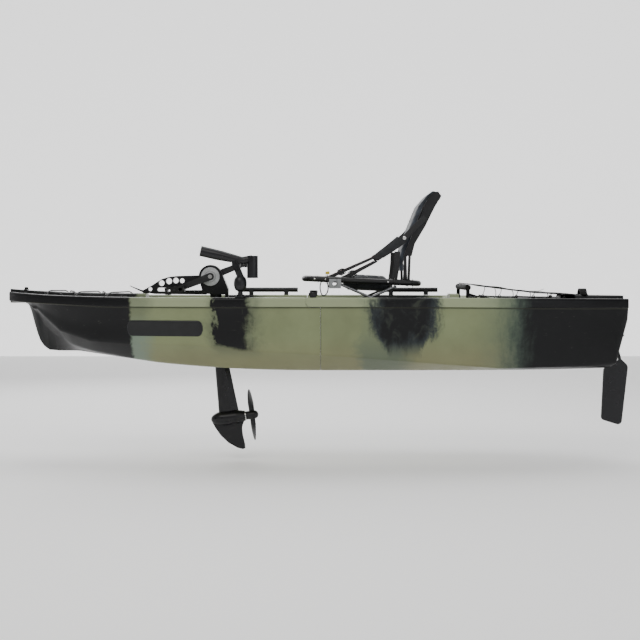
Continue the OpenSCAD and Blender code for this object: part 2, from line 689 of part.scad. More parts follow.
// Steering lever on the starboard ledge beside the seat
steer_x = 130;
steer_y = ledge_in(steer_x) + 66;
lever_len = 60;
module steering_base() color("dimgray") {
    translate([steer_x, steer_y, ledge_z + seat_gap]) {
        cylinder(r = 28, h = 8);
        cylinder(r = 6, h = 26);
    }
}
module steering_handle() color("black") {
    translate([steer_x, steer_y, ledge_z + 8 + 2 * seat_gap]) difference() {
        union() {
            cylinder(r = 24, h = 14);
            translate([-lever_len, -8, 2]) cube([lever_len, 16, 9]);
            translate([-lever_len, 0, 2]) cylinder(r = 12, h = 30);
        }
        translate([0, 0, -1]) cylinder(r = 6 + run_gap, h = 40);
    }
}

// --------------------------------------------------------------- rod holder

rod_y = -(half_beam(-rod_x) - 34);
rod_z = gunwale_z(-rod_x) + seat_gap;
tilt_point = [-rod_x - 20, rod_y, rod_z + 150];
module rod_base() color("black") {
    translate([-rod_x, rod_y, rod_z]) {
        cylinder(r = 28, h = 8);
        cylinder(r = 19, h = 14);
        cylinder(r = 8, h = 30);
    }
    translate([-rod_x + 34, rod_y - 4, rod_z]) {
        translate([-24, -10, 0]) cube([30, 20, 6]);
        cylinder(r = 9, h = 13);
    }
}
module rod_post() color("black") {
    difference() {
        union() {
            translate([-rod_x, rod_y, rod_z + 14 + seat_gap])
                rotate_extrude() polygon(concat([[0, 0], [13, 0], [11, 14]],
                    [for (a = [-60 : 15 : 75]) [16 + 15 * cos(a), 52 + 34 * sin(a) * 1.0]],
                    [[12, 96], [0, 96]]));
            bar([-rod_x, rod_y, rod_z + 100], tilt_point, 16);
            cross_bar(tilt_point[0], rod_y, tilt_point[2], 19, 14);
        }
        translate([-rod_x, rod_y, rod_z + 13]) cylinder(r = 8 + run_gap, h = 22);
        cross_bar(tilt_point[0], rod_y, tilt_point[2], 5 + run_gap, 40);
        for (side = [-1, 1]) translate([tilt_point[0], rod_y + side * 19, tilt_point[2]])
            rotate([90, 0, 0]) cylinder(r = 26, h = 24, center = true);
    }
}
// Cradle: a rod tube that slopes down to the pivot, and a drop-down butt rest behind it
cradle_drop = 13;
module in_cradle() {
    translate([tilt_point[0], rod_y, tilt_point[2] + 32]) rotate([0, cradle_drop, 0]) children();
}
module rod_cradle() color("black") {
    difference() {
        union() {
            in_cradle() rotate([0, -90, 0]) {
                translate([0, 0, 24]) cylinder(r1 = 21, r2 = rod_bore_r + 6, h = rod_len * 0.4);
                translate([0, 0, 24 + rod_len * 0.4])
                    cylinder(r = rod_bore_r + 6, h = rod_len * 0.6 - 24);
                translate([0, 0, -40]) cylinder(r1 = 17, r2 = 21, h = 64);
            }
            translate([tilt_point[0] + 78, rod_y, tilt_point[2] - 58]) cylinder(r = 26, h = 106);
            bar([tilt_point[0] + 34, rod_y, tilt_point[2] + 26],
                [tilt_point[0] + 78, rod_y, tilt_point[2] + 34], 18);
            for (side = [-1, 1]) translate([tilt_point[0], rod_y + side * 13, tilt_point[2]])
                hull() {
                    rotate([90, 0, 0]) cylinder(r = 19, h = 9, center = true, $fn = 32);
                    translate([0, 0, 30]) cube([40, 9, 16], center = true);
                }
        }
        in_cradle() rotate([0, -90, 0]) translate([0, 0, rod_len - 104])
            cylinder(r = rod_bore_r, h = 140);
        in_cradle() translate([-rod_len - 2, -7, 0]) cube([100, 14, 60]);
        cross_bar(tilt_point[0], rod_y, tilt_point[2], 5 + run_gap, 60);
        translate([tilt_point[0] - 24, rod_y - 7 - free_gap, tilt_point[2] - 30])
            cube([48, 14 + 2 * free_gap, 51]);
    }
}
module cradle_bolt() color("dimgray") {
    cross_bar(tilt_point[0], rod_y, tilt_point[2], 5, 44);
    translate([tilt_point[0], rod_y + 18, tilt_point[2]]) rotate([-90, 0, 0])
        cylinder(r = 9, h = 5, $fn = 6);
    translate([tilt_point[0], rod_y - 18, tilt_point[2]]) rotate([90, 0, 0]) {
        cylinder(r = 14, h = 9);
        translate([-3, -24, 2]) cube([6, 48, 7]);
    }
}

// -------------------------------------------------------------- pedal drive

crank_z = depth + crank_rise;
housing_half = 38;
housing_wall = 8;
base_t = 8;
base_z = console_z + seat_gap;
bearing_r = axle_r + 9;
crown_r = 44;                          // pitch radii of the upper bevel pair
pinion_r = 11;
lower_gear_r = 22;                     // pitch radii of the lower bevel pair
lower_pinion_r = 11;
cone_share = 0.7;                      // inner end of a bevel's face, from the apex
mesh_gap = 0.4;
shaft_clear = 3;
leg_t = 38;
bush_low = 130;                        // lower end of the upper bush, below the crank axis
// Frame of the raked shaft: origin on the crank axis, shaft along -Z, propeller along +X
module in_drive(z = 0) {
    translate([-crank_x, 0, crank_z]) rotate([0, -drive_rake, 0]) translate([0, 0, z]) children();
}
module housing_outline(grow) {
    hull() {
        translate([-crank_x, crank_z]) circle(r = disc_r + 12 + grow, $fn = 64);
        translate([-crank_x + 64, crank_z - 66]) circle(r = 24 + grow);
        translate([-crank_x - 26, crank_z - 72]) circle(r = 14 + grow);
    }
}
housing_foot = crank_z - 86;
brace_front = -crank_x + 72;
module drive_housing() color("black") {
    difference() {
        union() {
            slab(0, 2 * housing_half) housing_outline(0);
            slab(0, 2 * housing_half - 16) translate([brace_front, base_z + base_t + seat_gap])
                square([16, crank_z - 70 - base_z - base_t]);
        }
        slab(0, 2 * (housing_half - housing_wall)) housing_outline(-housing_wall);
        cross_bar(-crank_x, 0, crank_z, bearing_r + run_gap, 2 * housing_half + 2);
        in_drive(-150) cylinder(r = shaft_r + shaft_clear, h = 120);
    }
}
module side_discs() color("silver") {
    for (side = [-1, 1]) translate([-crank_x, side * (housing_half + seat_gap), crank_z])
        rotate([-90 * side, 0, 0]) difference() {
            union() {
                cylinder(r = disc_r, h = 5);
                for (a = [0 : 60 : 300]) rotate([0, 0, a]) translate([disc_r - 9, 0, 0])
                    cylinder(r = 3.5, h = 7);
            }
            translate([0, 0, -1]) cylinder(r = axle_r + free_gap, h = 12);
        }
}
module axle_bearings() color("silver") {
    for (side = [-1, 1])
        difference() {
            cross_bar(-crank_x, side * (housing_half - 5), crank_z, bearing_r, 9);
            cross_bar(-crank_x, side * (housing_half - 5), crank_z, axle_r + run_gap, 12);
        }
}
module drive_base() color("black") {
    difference() {
        translate([0, 0, base_z]) linear_extrude(base_t) difference() {
            translate([-well_front - 22, -console_half + 5])
                square([well_front - well_back + 44, 2 * console_half - 10]);
            translate([leg_x(base_z) - 3, -leg_t / 2 - 3]) square([78, leg_t + 6]);
        }
        for (x = [-well_front - 12, -well_back + 12]) for (y = [-50, 50])
            translate([x, y, base_z - 1]) cylinder(r = 4, h = base_t + 2);
    }
    for (x = [-well_front - 12, -well_back + 12]) for (y = [-50, 50])
        translate([x, y, base_z + base_t + seat_gap]) cylinder(r = 9, h = 6, $fn = 6);
}
// Leading edge of the leg at a height, and its outline
leg_top = housing_foot - seat_gap;
leg_foot = -205;
function leg_x(z) = -crank_x + lookup(z, [[leg_foot, 39], [8, 20], [console_z, 0], [leg_top, -5]]);
function leg_back(z) = -crank_x + lookup(z, [[leg_foot, 142], [8, 92], [console_z, 70],
    [leg_top, 53]]);
module leg_section(z, t) {
    x0 = leg_x(z);
    x1 = leg_back(z);
    translate([x0 + 0.4 * (x1 - x0), 0, z]) scale([0.4 * (x1 - x0) / (t / 2), 1, 1])
        cylinder(r = t / 2, h = 1, $fn = 24);
    translate([x1 - 4, 0, z]) cylinder(r = 3, h = 1, $fn = 12);
}
module drive_leg() color("black") {
    difference() {
        union() {
            hull() { leg_section(leg_top - 1, leg_t); leg_section(8, leg_t); }
            hull() { leg_section(8, leg_t); leg_section(leg_foot - 24, leg_t - 8); }
        }
        in_drive(-drive_depth) cylinder(r = shaft_r + shaft_clear, h = drive_depth - bush_low);
        in_drive(-drive_depth) cylinder(r = shaft_r + run_gap, h = drive_depth);
        gearcase_body(seat_gap);
        slab(0, leg_t + 2) housing_outline(seat_gap);
    }
}
nose_x = 88;
tail_x = 84;
module gearcase_body(grow) {
    in_drive(-drive_depth) rotate([0, 90, 0]) rotate_extrude($fn = 64) polygon(concat(
        [[0, -nose_x - grow]],
        [for (a = [80 : -10 : 0]) [(gearcase_r + grow) * cos(a), -20 - (nose_x - 20 + grow) * sin(a)]],
        [[gearcase_r - 2 + grow, 40], [gearcase_r - 7 + grow, 66], [gearcase_r - 12 + grow, tail_x],
         [0, tail_x]]));
}
fin_t = 10;
module fin_outline() {
    polygon([[-530, -262], [-545, -262], [-524, -300], [-497, -338], [-458, -375], [-413, -400],
        [-386, -407], [-374, -402], [-375, -383], [-386, -338], [-390, -300], [-386, -282],
        [-378, -262]]);
}
module gearcase() color("black") {
    difference() {
        union() {
            gearcase_body(0);
            translate([545 - crank_x, 0, crank_z - 458 + 712 - drive_depth])
                slab(0, fin_t) fin_outline();
        }
        in_drive(-drive_depth - 14) cylinder(r = lower_gear_r + 2, h = 35);
        in_drive(-drive_depth) cylinder(r = shaft_r + shaft_clear, h = 60);
        in_drive(-drive_depth) rotate([0, 90, 0]) {
            cylinder(r = lower_pinion_r + free_gap, h = lower_gear_r + 9);
            cylinder(r = shaft_r + run_gap, h = tail_x + 10);
        }
    }
}
// Lightened arm that braces the drive against the pedestal
arm_t = 30;
arm_tip = -pedestal_x - 22;
arm_foot = deck_z(arm_tip, 0) + seat_gap;
arm_holes = [[37, 20, 10], [94, 50, 14], [131, 60, 15], [165, 63, 14], [196, 62, 12]];
module arm_outline() {
    difference() {
        polygon([[arm_tip, arm_foot], [arm_tip, arm_foot + 14], [arm_tip + 44, arm_foot + 38],
            [arm_tip + 94, arm_foot + 70], [arm_tip + 134, arm_foot + 82],
            [arm_tip + 180, arm_foot + 86], [-crank_x - 22, arm_foot + 90],
            [-crank_x - 22, arm_foot - 7], [arm_tip + 60, arm_foot - 4], [arm_tip + 34, arm_foot]]);
        for (h = arm_holes) translate([arm_tip + h[0], arm_foot + h[1]]) circle(r = h[2]);
        translate([0, arm_foot + 32]) long_hole(arm_tip + 200, -crank_x - 20, 17);
        translate([0, arm_foot + 18]) long_hole(arm_tip + 72, arm_tip + 190, 9);
        housing_outline(seat_gap);
    }
}
module drive_arm() color("black") {
    difference() {
        slab(0, arm_t) arm_outline();
        cross_bar(arm_tip + 8, 0, arm_foot + 7, 4 + run_gap, arm_t + 2);
        translate([arm_tip - 4, -8 - free_gap, arm_foot - 1]) cube([24, 16 + 2 * free_gap, 30]);
    }
}
module arm_latch() color("black") {
    cross_bar(arm_tip + 8, 0, arm_foot + 7, 4, arm_t);
    slab(0, 16) difference() {
        union() {
            translate([arm_tip + 8, arm_foot + 7]) circle(r = 6.5);
            polygon([[arm_tip + 4, arm_foot + 2], [arm_tip - 12, arm_foot + 9],
                [arm_tip - 62, arm_foot + 33], [arm_tip - 66, arm_foot + 38],
                [arm_tip - 10, arm_foot + 17], [arm_tip + 8, arm_foot + 13]]);
        }
    }
}
// Crank set
crank_in = housing_half + 9;
crank_t = 14;
pedal_end_r = 13;
spindle_r = 6;
spindle_len = 104;
function spindle_at(side) = [-crank_x + side * crank_len * cos(crank_angle), 0,
    crank_z + side * crank_len * sin(crank_angle)];
module crank_axle() color("silver") {
    cross_bar(-crank_x, 0, crank_z, axle_r, 2 * (crank_in + crank_t) + 6);
}
module bevel(r, apex, back, bore_r) {
    difference() {
        union() {
            translate([0, 0, apex * cone_share])
                cylinder(r1 = r * cone_share, r2 = r, h = apex * (1 - cone_share));
            translate([0, 0, apex]) cylinder(r = r, h = back);
        }
        translate([0, 0, -1]) cylinder(r = bore_r, h = apex + back + 2);
    }
}
module crown_gear() color("silver") {
    translate([-crank_x, 0, crank_z]) rotate([-90, 0, 0]) translate([0, 0, mesh_gap])
        bevel(crown_r, pinion_r, 6, axle_r + run_gap);
}
module drive_shaft() color("silver") {
    in_drive() rotate([180, 0, 0]) {
        translate([0, 0, mesh_gap]) bevel(pinion_r, crown_r, 8, shaft_r - 2);
        translate([0, 0, crown_r]) cylinder(r = shaft_r, h = drive_depth - crown_r - 16);
    }
    in_drive(-drive_depth + mesh_gap) {
        bevel(lower_gear_r, lower_pinion_r, 6, shaft_r - 2);
        translate([0, 0, lower_pinion_r + 1]) cylinder(r = shaft_r, h = 30);
    }
}
module crank(side) {
    end = spindle_at(side);
    difference() {
        slab(side * (crank_in + crank_t / 2), crank_t) hull() {
            translate([-crank_x, crank_z]) circle(r = 18);
            translate([end[0], end[2]]) circle(r = pedal_end_r);
        }
        cross_bar(-crank_x, side * (crank_in + crank_t / 2), crank_z, axle_r + run_gap, 40);
    }
    cross_bar(end[0], side * (crank_in + crank_t + spindle_len / 2 - 1), end[2], spindle_r,
        spindle_len);
}
module crank_port() color("dimgray") crank(-1);
module crank_starboard() color("dimgray") crank(1);
pedal_l = 94;
pedal_w = 94;
pedal_t = 34;
module pedal(side) {
    end = spindle_at(side);
    y0 = crank_in + crank_t + 4;
    difference() {
        slab(side * (y0 + pedal_w / 2), pedal_w) translate([end[0], end[2]]) rotate(8)
            difference() {
                union() {
                    translate([-pedal_l / 2, -pedal_t / 2]) square([pedal_l, pedal_t]);
                    for (x = [-32, 0, 32]) for (s = [-1, 1])
                        translate([x - 5, s * (pedal_t / 2 + 1) - 2]) square([10, 4]);
                }
                for (x = [-29, 29]) translate([x - 8, -6]) square([16, 12]);
            }
        cross_bar(end[0], side * (y0 + 44), end[2], spindle_r + run_gap, 112);
    }
}
module pedal_port() color("black") pedal(-1);
module pedal_starboard() color("black") pedal(1);
// Propeller
hub_x = 119;
hub_r = 22;
blade_pitch = 62;
module prop_shaft() color("silver") {
    in_drive(-drive_depth) rotate([0, 90, 0]) {
        translate([0, 0, mesh_gap]) bevel(lower_pinion_r, lower_gear_r, 6, shaft_r - 2);
        translate([0, 0, lower_gear_r + 1]) cylinder(r = shaft_r, h = hub_x - 6);
    }
}
module prop_ring() color("silver") {
    in_drive(-drive_depth) rotate([0, 90, 0]) translate([0, 0, tail_x + seat_gap]) difference() {
        cylinder(r = hub_r + 2, h = 4);
        translate([0, 0, -1]) cylinder(r = shaft_r + run_gap, h = 6);
    }
}
module propeller() color("black") {
    in_drive(-drive_depth) difference() {
        union() {
            rotate([0, 90, 0]) rotate_extrude() polygon(concat(
                [[0, tail_x + 5], [hub_r - 1, tail_x + 5], [hub_r, hub_x - 10]],
                [for (a = [0 : 10 : 90]) [hub_r * cos(a), hub_x + 8 + 24 * sin(a)]]));
            for (a = [0, 180]) rotate([a, 0, 0]) translate([hub_x, 0, 0])
                rotate([0, 0, blade_pitch]) slab(0, 4) hull() {
                    translate([0, 20]) circle(r = 14);
                    translate([-2, 75]) circle(r = 21);
                    translate([2, prop_r - 9]) circle(r = 9);
                }
        }
        rotate([0, 90, 0]) cylinder(r = shaft_r + run_gap, h = lower_gear_r + hub_x - 3);
    }
}

// --------------------------------------------------------------------- seat

seat_back_end = seat_len - seat_front;
function seat_z(x) = ledge_z + seat_rise + 24 - 25 * (x + seat_front) / seat_len;
function seat_at(x, y, lift = 0) = [x, y, seat_z(x) + lift];
front_x = -seat_front + seat_tube_r;
rear_x = seat_back_end - seat_tube_r;
tube_y = seat_half - seat_tube_r;
// Rounded loop of the seat frame, as points on one side of each corner's arc
corner_r = [70, 40];                   // front and rear corners
function corner_arc(cx, cy, r, a0) = [for (a = [0 : 15 : 90])
    let (x = cx + r * cos(a0 + a)) seat_at(x, cy + r * sin(a0 + a))];
module seat_base_frame() color("black") {
    tube_loop(concat(
        corner_arc(rear_x - corner_r[1], tube_y - corner_r[1], corner_r[1], 0),
        [for (x = [300, 150]) seat_at(x, tube_y)],
        corner_arc(front_x + corner_r[0], tube_y - corner_r[0], corner_r[0], 90),
        corner_arc(front_x + corner_r[0], -tube_y + corner_r[0], corner_r[0], 180),
        [for (x = [150, 300]) seat_at(x, -tube_y)],
        corner_arc(rear_x - corner_r[1], -tube_y + corner_r[1], corner_r[1], 270)),
        seat_tube_r);
    for (side = [-1, 1]) {
        cross_bar(back_pivot[0], side * (boss_y + boss_w / 2), back_pivot[2], 11, boss_w);
        cross_bar(back_pivot[0], side * (back_y + 2), back_pivot[2], back_pin_r, plate_w + 5);
    }
}
back_pivot_x = 424;
back_pivot = seat_at(back_pivot_x, 0);
back_pin_r = 5;
plate_w = 14;                          // width of the back rest's side plates
boss_w = 8;
boss_y = tube_y - seat_tube_r - 4.5;   // inner face of the pivot bosses
back_y = boss_y - 0.5 - plate_w / 2;   // middle of the side plates
cushion_x = 105;
cushion_len = 246;
sling_half = tube_y - seat_tube_r - seat_gap;
module sling(x0, x1, inset) {
    slab(0, 2 * (sling_half - inset)) polygon([
        [x0, seat_z(x0) - 3], [x1, seat_z(x1) - 3], [x1, seat_z(x1) + 3], [x0, seat_z(x0) + 3]]);
}
module seat_pan() color("dimgray") {
    sling(front_x + seat_tube_r + seat_gap, cushion_x - seat_gap, corner_r[0] - 15);
    sling(cushion_x + cushion_len + seat_gap, rear_x - seat_tube_r - seat_gap, 30);
}
module seat_cushion() color("dimgray") {
    top = cushion_t - 46;
    x0 = cushion_x;
    x1 = cushion_x + cushion_len;
    slab(0, 2 * (boss_y + 0.5)) polygon([
        [x0 + 8, seat_z(x0) - 46], [x0, seat_z(x0) - 34],
        [x0, seat_z(x0) + top - 10], [x0 + 12, seat_z(x0) + top],
        [x1 - 12, seat_z(x1) + top], [x1, seat_z(x1) + top - 10],
        [x1, seat_z(x1) - 34], [x1 - 8, seat_z(x1) - 46]]);
}
track_y = 258;
rail_w = 24;
track_h = 12;
track_x = 16;
track_len = 545;
shoe_x = [45, 385];
shoe_len = 56;
module seat_rails() color("dimgray") {
    for (side = [-1, 1]) translate([track_x, side * track_y - rail_w / 2, ledge_z + seat_gap])
        difference() {
            cube([track_len, rail_w, track_h]);
            for (s = [-1, 1]) translate([-1, rail_w / 2 + s * rail_w / 2 - 2, -1])
                cube([track_len + 2, 4, 6]);
        }
}
module seat_runners() color("black") {
    for (side = [-1, 1]) for (x = shoe_x)
        translate([x, side * track_y, ledge_z + seat_gap]) difference() {
            translate([0, -rail_w / 2 - 5, 6.5]) cube([shoe_len, rail_w + 10, 20]);
            translate([-1, -rail_w / 2 - seat_gap, 0])
                cube([shoe_len + 2, rail_w + 2 * seat_gap, track_h + seat_gap]);
        }
}
shoe_top = ledge_z + seat_gap + 26.5;
strut_r = 6;
lug_r = 7;
lug_w = 14;
strut_top = [cushion_x - 5, cushion_x + cushion_len + 14];
// Crossed struts, each with a round lug at both ends
module seat_struts() color("dimgray") {
    for (side = [-1, 1]) for (k = [0, 1]) {
        foot = [shoe_x[1 - k] + shoe_len / 2, side * (track_y + 8 - 16 * k),
            shoe_top + seat_gap + lug_r];
        top = [strut_top[k], side * (tube_y + 6 - 14 * k),
            seat_z(strut_top[k]) - seat_tube_r - lug_r - 2 * seat_gap];
        bar(foot, top, strut_r);
        for (end = [foot, top]) cross_bar(end[0], end[1], end[2], lug_r, lug_w);
    }
}
module seat_brackets() color("silver") {
    for (side = [-1, 1]) slab(side * (tube_y + seat_tube_r + seat_gap + 1), 2) difference() {
        translate([44, seat_z(60) - 42]) square([58, 46]);
        translate([73, seat_z(60) - 20]) circle(r = 12);
    }
}
loop_x = 20;
module seat_loop() color("dimgray") {
    slab(-(tube_y - seat_tube_r - seat_gap - 11), 22)
        translate([loop_x, seat_z(loop_x) - seat_tube_r - 26]) difference() {
        scale([0.5, 1]) circle(r = 42);
        scale([0.5, 1]) circle(r = 36);
    }
}
// Back rest, folding about the pivot on the seat frame
module back_outline() {
    polygon([[-17, 131], [3, 180], [42, 274], [72, 333], [82, 373], [111, 422], [132, 442],
        [150, 444], [166, 422], [136, 373], [116, 333], [87, 274], [37, 190], [22, 131]]);
}
module in_back() { translate(back_pivot) children(); }
lumbar_bar = [8, 182, 8];             // cross bars: x and z from the pivot, radius
head_bar = [142, 418, 20];
module seat_back_frame() color("black") {
    in_back() difference() {
        union() {
            for (side = [-1, 1]) {
                slab(side * back_y, plate_w) back_outline();
                for (dx = [-9, 12]) bar([dx * 0.6, side * back_y, 8],
                    [dx, side * back_y, 134], 6.5);
                cross_bar(0, side * back_y, 0, 16, plate_w);
            }
            for (c = [lumbar_bar, head_bar])
                cross_bar(c[0], 0, c[1], c[2], 2 * back_y - plate_w + 4);
        }
        cross_bar(0, 0, 0, back_pin_r + run_gap, 2 * beam);
    }
}
module seat_back_fabric() color("dimgray") {
    in_back() slab(0, 2 * back_y - plate_w - 2 * seat_gap) difference() {
        polygon([[-31, 55], [-38, 100], [-22, 170], [12, 260], [34, 315], [60, 378], [100, 425],
            [126, 446], [142, 446], [142, 436], [124, 428], [112, 414], [76, 370], [50, 310],
            [28, 252], [-4, 164], [-20, 98], [-14, 55]]);
        for (c = [lumbar_bar, head_bar])
            translate([c[0], c[1]]) circle(r = c[2] + seat_gap);
    }
}
strap_t = 3;
module strap_run(a, b, wa, wb) {
    d = (b - a) / norm(b - a);
    n = [-d[1], d[0]];
    polygon([a + n * wa / 2, b + n * wb / 2, b - n * wb / 2, a - n * wa / 2]);
}
module side_straps() color("black") {
    knot = back_pivot + [-14, 0, 218];
    fork = [272, seat_z(272) + 112];
    for (side = [-1, 1]) slab(side * (boss_y + 1 + strap_t / 2), strap_t) {
        k = [knot[0], knot[2]];
        translate(k) circle(r = 17);
        strap_run(k, k + [102, 100], 22, 22);
        strap_run(k + [0, -8], fork, 44, 30);
        strap_run(fork + [6, 8], [50, seat_z(50) + 6], 14, 20);
        strap_run(fork + [8, -6], [112, seat_z(112) + 6], 14, 20);
        strap_run([376, seat_z(376) + 150], [362, seat_z(362) + 4], 28, 26);
    }
}

bow_section();
stern_section();
joint_studs();
joint_knob_port();
joint_knob_starboard();
bow_handle();
bow_pad_eyes();
bow_bungee();
bow_side_rail();
bow_rail_saddles();
stern_side_rail();
stern_rail_saddles();
stern_handle();
stern_pad_eyes();
stern_bungee();
cargo_cover();
cover_bar();
rod_tubes();
drain_plug();
seat_rails();
rudder_gudgeons();
rudder_pin();
rudder_head();
rudder_blade();
blade_bolt();
rudder_lines();
steering_base();
steering_handle();
rod_base();
rod_post();
rod_cradle();
cradle_bolt();
drive_base();
drive_housing();
side_discs();
drive_arm();
arm_latch();
drive_leg();
gearcase();
axle_bearings();
crank_axle();
crown_gear();
crank_port();
crank_starboard();
pedal_port();
pedal_starboard();
drive_shaft();
prop_shaft();
prop_ring();
propeller();
seat_base_frame();
seat_pan();
seat_cushion();
seat_struts();
seat_runners();
seat_brackets();
seat_loop();
seat_back_frame();
seat_back_fabric();
side_straps();
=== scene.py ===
import math
import bmesh
import bpy
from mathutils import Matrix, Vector
from mathutils.bvhtree import BVHTree


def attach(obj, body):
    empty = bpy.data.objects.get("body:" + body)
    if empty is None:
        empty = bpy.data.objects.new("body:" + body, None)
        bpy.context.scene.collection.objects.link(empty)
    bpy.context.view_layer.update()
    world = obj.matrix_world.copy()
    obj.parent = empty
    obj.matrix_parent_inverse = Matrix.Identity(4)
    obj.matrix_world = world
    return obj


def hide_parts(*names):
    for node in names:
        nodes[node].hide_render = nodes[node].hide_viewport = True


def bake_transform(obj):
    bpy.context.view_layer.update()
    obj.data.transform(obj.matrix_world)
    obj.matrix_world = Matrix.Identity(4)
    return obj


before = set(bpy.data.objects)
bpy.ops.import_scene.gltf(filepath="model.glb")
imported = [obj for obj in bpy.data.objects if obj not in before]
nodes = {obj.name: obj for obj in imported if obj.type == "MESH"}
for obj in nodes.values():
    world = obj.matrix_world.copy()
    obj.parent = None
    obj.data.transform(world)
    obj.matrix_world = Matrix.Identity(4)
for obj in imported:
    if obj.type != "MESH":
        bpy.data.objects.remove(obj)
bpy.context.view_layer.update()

scene = bpy.context.scene

# ------------------------------------------------------------------ camera, floor, lights

CAMERA_AT = Vector((0.0, -7.5, 0.492))
LOOK_AT = Vector((0.0, 0.0, 0.2406))
cam = bpy.data.objects.new("camera", bpy.data.cameras.new("camera"))
cam.data.lens = 84.4
cam.location = CAMERA_AT
cam.rotation_mode = "QUATERNION"
cam.rotation_quaternion = (LOOK_AT - CAMERA_AT).to_track_quat("-Z", "Y")
scene.collection.objects.link(cam)
scene.camera = cam

FLOOR_Z = -0.46


def new_object(name, mesh):
    obj = bpy.data.objects.new(name, mesh)
    scene.collection.objects.link(obj)
    return obj


def mesh_object(name, verts, faces, smooth=True, sharp=40):
    mesh = bpy.data.meshes.new(name)
    mesh.from_pydata([tuple(v) for v in verts], [], faces)
    mesh.update()
    if smooth:
        mesh.polygons.foreach_set("use_smooth", [True] * len(mesh.polygons))
        mesh.set_sharp_from_angle(angle=math.radians(sharp))
    return new_object(name, mesh)


floor = mesh_object("floor", [(-40, -40, FLOOR_Z), (40, -40, FLOOR_Z), (40, 40, FLOOR_Z),
                              (-40, 40, FLOOR_Z)], [(0, 1, 2, 3)], smooth=False)
backdrop = mesh_object("backdrop", [(-30, 9, -3), (30, 9, -3), (30, 9, 18), (-30, 9, 18)], [(0, 1, 2, 3)],
                       smooth=False)


def area_light(name, place, target, size, power, colour=(1, 1, 1)):
    light = bpy.data.lights.new(name, "AREA")
    light.shape = "RECTANGLE"
    light.size, light.size_y = size
    light.energy = power
    light.color = colour
    obj = new_object(name, light)
    obj.location = place
    obj.rotation_mode = "QUATERNION"
    obj.rotation_quaternion = (Vector(target) - Vector(place)).to_track_quat("-Z", "Y")


area_light("key", (-1.5, -4.5, 4.2), (0, 0, 0.2), (5, 3), 170, (1, 0.98, 0.95))
area_light("fill", (3.5, -5.0, 1.4), (0.3, 0, 0.2), (4, 2.5), 45, (0.93, 0.96, 1))
area_light("top", (0.3, 0.8, 4.5), (0, 0, 0.3), (5, 3), 120)
area_light("back", (-2.0, 4.5, 2.5), (0, 0, 0.3), (4, 2), 80)
world = bpy.data.worlds.new("studio")
world.use_nodes = True
world.node_tree.nodes["Background"].inputs["Color"].default_value = (1, 1, 1, 1)
world.node_tree.nodes["Background"].inputs["Strength"].default_value = 0.3
scene.world = world

# ------------------------------------------------------------------ material nodes


